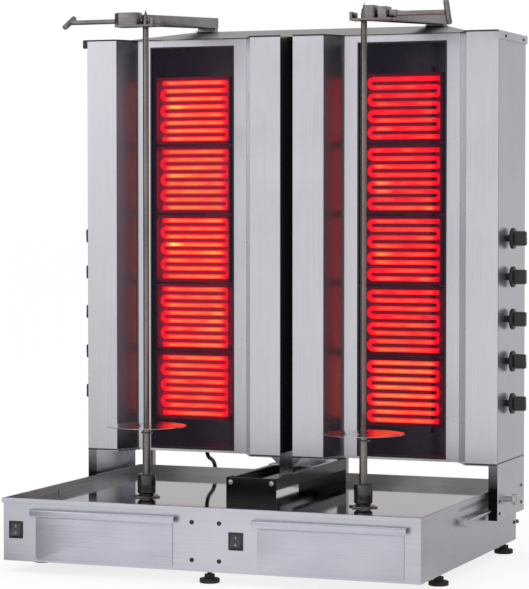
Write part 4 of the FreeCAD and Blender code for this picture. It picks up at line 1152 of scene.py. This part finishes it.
holder = {
    "plateLow": 1111.7, "plateTop": 1116.0,
    "plate": (215.0, 303.0),
    "slot": (24.5, 6.3, 1100.0, 1120.0),  # from the plate's inner end, half its width, levels
    "ahead": (-110.0, -74.0),
    "hook": (215.0, 221.0, 1129.0),
    "block": {"left": (250.0, 308.0), "right": (247.0, 268.6)},
    "jaw": (275.0, 293.0),
    "jawTaper": (1, 0.62, 0.72),
    "jawNut": (268.7, [(8.5, 0), (9.4, 0.8), (9.4, 5.4), (8.5, 6.2)]),
    "ring": (-223.5, -100.0, 1124.5),
    "ringSize": (4.6, 1.5, 28, 10),
    "ringTurn": (90, 0, 35),
    "stem": [(1.6, 1115.8), (1.6, 1119.2)],
    "blockTop": 1141.5,
    "chamfer": {"left": 15.0, "right": 5.0},
    "rounding": {"left": 14.0, "right": 0.0},
    "arm": (244.0, 290.0),
    "armFront": (1111.7, 1133.7),
    "armRear": (1131.5, 1153.5),
    "armEnd": 317.0, "armSheet": 2.0,
    "armLift": {"left": 5.0, "right": 0.0},
    "clampStart": 246.05, "clampHeight": 1124.6, "clampEnd": 163.45,
    "collar": {"left": [], "right": [(5, 47.25), (7.4, 47.25), (8, 48), (8, 62.4), (7.2, 63.25), (5, 63.25)]},
    "tee": (5.8, 26.0, 168.4),  # radius, half its length, level
    "spin": {"left": 64.0, "right": 29.0},
}


def makeHolder(name, side):
    v = holder
    front, rear = v["ahead"]
    back = layout["spitBack"]

    def sideBlock(inner, outer, low, high, cut=0, rounding=0):
        part = block((side * inner, front, low), (side * outer, rear, high))
        centre = (inner + outer) / 2
        if cut:
            bevelSome(part, "EDGE", lambda middle, way: abs(way.z) > 0.9 and abs(middle.x) > centre, cut, 1)
        if rounding:
            bevelSome(part, "EDGE", lambda middle, way: abs(way.z) > 0.9 and abs(middle.x) < centre,
                      rounding, 6)
        return soften(part, 0.7)

    plate = sideBlock(*v["plate"], v["plateLow"], v["plateTop"], 3)
    slotIn, wide, low, high = v["slot"]
    slot = side * (v["plate"][0] + slotIn)
    cutAway(plate, block((slot - wide, back - wide - 2, low), (slot + wide, back + wide + 3, high)))
    inner, outer, top = v["hook"]
    parts = [plate, sideBlock(inner, outer, v["plateTop"], top),
             sideBlock(*v["block"][name], v["plateTop"], v["blockTop"], v["chamfer"][name],
                       v["rounding"][name])]
    if side > 0:
        jaw = sideBlock(*v["jaw"], v["plateTop"], v["blockTop"] - 3)
        scaleSome(jaw, "FACE", lambda middle, normal: normal.x > 0.9, v["jawTaper"],
                  (v["jaw"][1], (front + rear) / 2, v["clampHeight"]))
        start, rings = v["jawNut"]
        parts += [jaw, placeAt(turned(rings, 6), (start, back, v["clampHeight"]), facing(side))]
    else:
        x, y, z = v["ring"]
        parts += [hoop(*v["ringSize"], (x, y, z), v["ringTurn"]),
                  placeAt(turned(v["stem"], 16), (x, y, 0))]
    finishPiece("holder_head_" + name, parts, "arm_" + name, "holder_steel", "holderSteel",
                f"top_arm_{name}")
    low, high = v["armFront"]
    arm = block((side * v["arm"][0], rear, low), (side * v["arm"][1], v["armEnd"], high))
    for level, rise in ((low, v["armRear"][0] - low), (high, v["armRear"][1] - high)):
        moveSome(arm, "VERT", lambda point: point.y > 0 and abs(point.z - level) < 0.1, (0, 0, rise))
    dropFaces(arm, lambda middle, normal: normal.z < -0.8 or normal.y > 0.8)
    soften(thicken(arm, v["armSheet"]), 0.6)
    placeAt(arm, (0, 0, v["armLift"][name]))
    finishPiece("holder_channel_" + name, [arm], "arm_" + name, "holder_steel", "holderSteel")


def makeClamp(name, side):
    v = holder
    shaft = turned([(4.2, 0), (5, 0.9), *v["collar"][name], (5, v["clampEnd"])], 36)
    radius, half, level = v["tee"]
    tee = turned([(3.4, -half), (5.0, -half + 0.9), (radius, -half + 2.6), (radius, half - 2.6),
                  (5.0, half - 0.9), (3.4, half)], 32)
    piece = joinAll([shaft, placeAt(tee, (0, 0, level), facing(1))])
    placeAt(piece, (side * v["clampStart"], layout["spitBack"], v["clampHeight"]),
            facing(side) @ spun(v["spin"][name], "Z"))
    finishPiece("clamp_handle_" + name, [piece], "clamp_" + name, "holder_steel", "holderSteel",
                f"clamp_screw_{name}")


# Cable gland

gland = {
    "place": (-265.0, 348.0, 118.0),
    "nut": [(9.0, 0), (10.2, 0.9), (10.2, 7.4), (9.4, 8.2)],
    "dome": [(8.2, 8.2), (8.2, 12.6), (7.4, 14.6), (5.9, 15.9), (4.7, 16.0), (4.6, 13.5)],
    "ridges": (40, 8.4, 13.4, 0.95, 7.5),
}


def makeGland():
    nut = soften(turned(gland["nut"], 6), 0.3)
    dome = fluted(gland["dome"], *gland["ridges"])
    piece = placeAt(joinAll([nut, dome]), gland["place"])
    finishPiece("gland_nut", [piece], "base", "black_plastic", "blackPlastic", "cable_gland")


# Column trim: dark strips painted as the shadow gaps at the caps and edges, a dark sheet painted as the shade
# in the gap between the columns, a dark frame painted as the shadow gap round the glass, and the wire channel

trim = {
    "stripTall": 3.2, "stripOut": 0.8, "stripIn": 1.6,
    "flangeEnd": (10.5, 17.0, 5.0),  # width, height, depth
    "flangeEndRound": 2.4,
    "outer": (395.75, 464.85),
    "inner": (14.15, 83.25),
    "slants": [(395.75, 366.75), (83.25, 112.25)],
    "slantDeep": 52.5,
    "channel": ((299.0, 172.4, 262.0), (307.5, 173.4, 1033.0)),
    "shadeSheet": 0.9,
    "glassShadow": (338.15, 1085.5, 3.4, 2.4),  # opening's outer side, top, width and depth
}


def makeTrim(name, side):
    v = trim
    low, top = layout["columnBottom"], layout["columnTop"]
    front, back = layout["columnFront"], layout["columnBack"]
    face = columnFace(side)

    # dark strips painted as the shadow gap under the caps' front edges
    def capShadowStrip(near, far):
        return block((side * near, front - v["stripOut"], top - v["stripTall"] / 2),
                     (side * far, front + v["stripIn"], top + v["stripTall"] / 2))

    strips = [soften(capShadowStrip(*span), 0.25) for span in (v["outer"], v["inner"])]
    for near, far in v["slants"]:
        strip = capShadowStrip(near, far)
        moveSome(strip, "VERT", lambda point: abs(abs(point.x) - far) < 0.1, (0, v["slantDeep"], 0))
        strips.append(soften(strip, 0.25))
    # a dark block painted as the shade in the hollow end of the left cap's flange
    if side < 0:
        wide, tall, deep = v["flangeEnd"]
        flangeEnd = block((face + side * 0.1, front - v["stripOut"], top - tall),
                     (face + side * wide, front - v["stripOut"] + deep, top + v["stripTall"] / 2))
        bevelSome(flangeEnd, "EDGE", lambda middle, way: abs(way.y) > 0.9 and abs(middle.x) > abs(face) + 2,
                  v["flangeEndRound"], 4)
        strips.append(soften(flangeEnd, 0.3))
    # dark strips painted as shade along the outer front corner and under the column's bottom
    edge = face - side * v["stripOut"]
    corners = [((edge, front + 0.6, low + 5.5), (face + side * 0.15, front + 2.2, top - 17)),
               ((edge, front + 2, low - 1), (face + side * 0.3, back - 2, low + 1.5))]
    for near, far in (v["outer"], v["inner"]):
        corners.append(((side * near, front - 0.6, low - 3), (side * far, front + 1, low)))
    strips += [soften(block(*pair), 0.2) for pair in corners]
    column = "column_" + name
    finishPiece("cap_shadow_strips_" + name, strips, column, "black_plastic", "blackPlastic")
    # a dark sheet painted as the shade on the inner side wall in the gap between the columns
    wall = side * v["inner"][0]
    shadeSheet = block((wall - side * v["shadeSheet"], front + 3, low + 4), (wall, back - 4, top - 6))
    finishPiece("gap_shade_sheet_" + name, [soften(shadeSheet, 0.3)], column, "insulation", "gapShadeSheet")
    finishPiece("glass_shadow_frame_" + name, [glassShadowFrame(side)], column, "black_plastic", "blackPlastic")
    if side > 0:
        channel = soften(block(*v["channel"]), 0.3)
        finishPiece("wire_channel", [channel], column, "insulation", "blackPlastic")


# A dark frame on the glass's front edge, painted as the shadow gap between the glass and its opening
def glassShadowFrame(side):
    outer, top, wide, deep = trim["glassShadow"]
    middle = side * layout["spitOut"]
    half = outer - layout["spitOut"]
    glass = layout["glassFront"]
    glassShadow = block((middle - half, glass - deep, layout["columnBottom"] + 2),
                 (middle + half, glass, top))
    pick(glassShadow, "FACE", lambda centre, normal: abs(normal.y) > 0.9)
    bpy.ops.mesh.inset(thickness=wide * mm)
    bpy.ops.mesh.bridge_edge_loops()
    leaveEdit()
    return soften(glassShadow, 0.6)


# Stage and light

stage = {
    "floorSize": 400.0,  # metres
    "floorGlow": 0.8, "zenith": 0.5,
    "front": [(0.0, 0.08), (0.12, 0.12), (0.15, 0.42), (0.175, 0.82), (0.25, 0.88), (0.32, 0.93),
              (0.5, 0.92), (0.8, 0.8), (1.0, 0.5)],
    "back": [(0.0, 0.10), (0.15, 0.3), (0.3, 0.6), (0.6, 0.58), (0.75, 0.64), (1.0, 0.5)],
    # painted shade: near the grill and behind it, the floor is darker as the steel mirrors it
    "nearFloor": (2.0, 14.0),  # metres; closer than this the floor behind looks darker in the steel
    "nearShade": 0.24,
    "lamps": [  # place, target, size in metres and power
        ("softboxTop", (-0.3, -0.8, 3.4), (0, 0, 0.5), (2.6, 2.2), 12),
        ("softboxLeft", (-3.0, -3.2, 1.9), (0, 0, 0.6), (2.0, 2.4), 10)],
}


def addLamp(name, place, target, size, power):
    data = bpy.data.lights.new(name, "AREA")
    data.shape = "RECTANGLE"
    data.size, data.size_y = size
    data.energy = power
    lamp = addObject(name, data, place)
    lamp.rotation_euler = (Vector(target) - Vector(place)).to_track_quat("-Z", "Y").to_euler()


# How bright the studio is in a direction, as the steel mirrors it
def roomLevel(tree, way):
    x, y, z = way.axes()
    across = x.spread(0.0, 1.0, -1.0, 1.0)
    levels = [tree.ramp(across, greyStops(stage[key])) for key in ("front", "back")]
    walls = tree.mix(y.spread(0.0, 1.0, -0.35, 0.35), *levels)
    up = stage["zenith"]
    return tree.mix(z.spread(0.0, 1.0, 0.25, 0.85), walls, (up, up, up, 1))


def makeFloor():
    deselectAll()
    bpy.ops.mesh.primitive_plane_add(size=stage["floorSize"])
    floor = bpy.context.object
    floor.name = "floor"
    tree = newFinish("paleFloor")
    tree.dress({"Base Color": tint(252, 252, 252), "Roughness": 0.9, "Specular IOR Level": 0.0})
    spot = tree.place()
    way = tree.add("VectorMath", "Vector", {0: spot}, operation="NORMALIZE")
    away = tree.add("VectorMath", "Value", {0: spot}, operation="LENGTH")
    # painted shade on the floor as the steel mirrors it, near the grill and behind it
    dip = (away.spread(stage["nearShade"], 0.0, *stage["nearFloor"])
           * way.axes()[1].spread(0.0, 1.0, -0.3, 0.3))
    level = tree.mix(dip, roomLevel(tree, way), (0, 0, 0, 1))
    rays = tree.add("LightPath", 0, {}).socket.node
    seen, mirrored, through = [Signal(tree, rays.outputs[f"Is {kind} Ray"])
                               for kind in ("Camera", "Glossy", "Transmission")]
    light = tree.add("Emission", 0, {"Color": tree.mix(mirrored, (1, 1, 1, 1), level), "Strength": 1.0})
    shell = Signal(tree, tree.nodes["Principled BSDF"].outputs[0])
    share = (seen + mirrored + through) * stage["floorGlow"]
    surface = tree.add("MixShader", 0, {0: share, 1: shell, 2: light})
    tree.feed(tree.nodes["Material Output"], {"Surface": surface})
    wear(floor, "paleFloor")


def makeStage():
    makeFloor()
    world = bpy.data.worlds.new("studio")
    bpy.context.scene.world = world
    tree = Tree(world)
    level = roomLevel(tree, tree.place("Generated"))
    mirrored = tree.add("LightPath", "Is Glossy Ray", {})
    tree.feed(tree.nodes["Background"], {
        "Strength": 1.0, "Color": tree.mix(mirrored, (1, 1, 1, 1), level)})
    for lamp in stage["lamps"]:
        addLamp(*lamp)
    bpy.context.scene.view_settings.view_transform = "Standard"


makeCamera()
makeFinishes()
print("camera and finishes ready")
dressNodes()
makeCable()
print("solids dressed, cable laid")
makeFeet()
makeSwitches()
makeScrews()
makeGuideRods()
makeStars()
makeGland()
print("base pieces modelled")
for name, side in sides.items():
    makeDrawer(name, side)
    makeSpit(name, side)
    makeRibbons(name, side)
    makeHolder(name, side)
    makeClamp(name, side)
    makeTrim(name, side)
makeKnobs()
makeThumbBolts()
print("column and spit pieces modelled")
makeStage()
print("stage and light set")
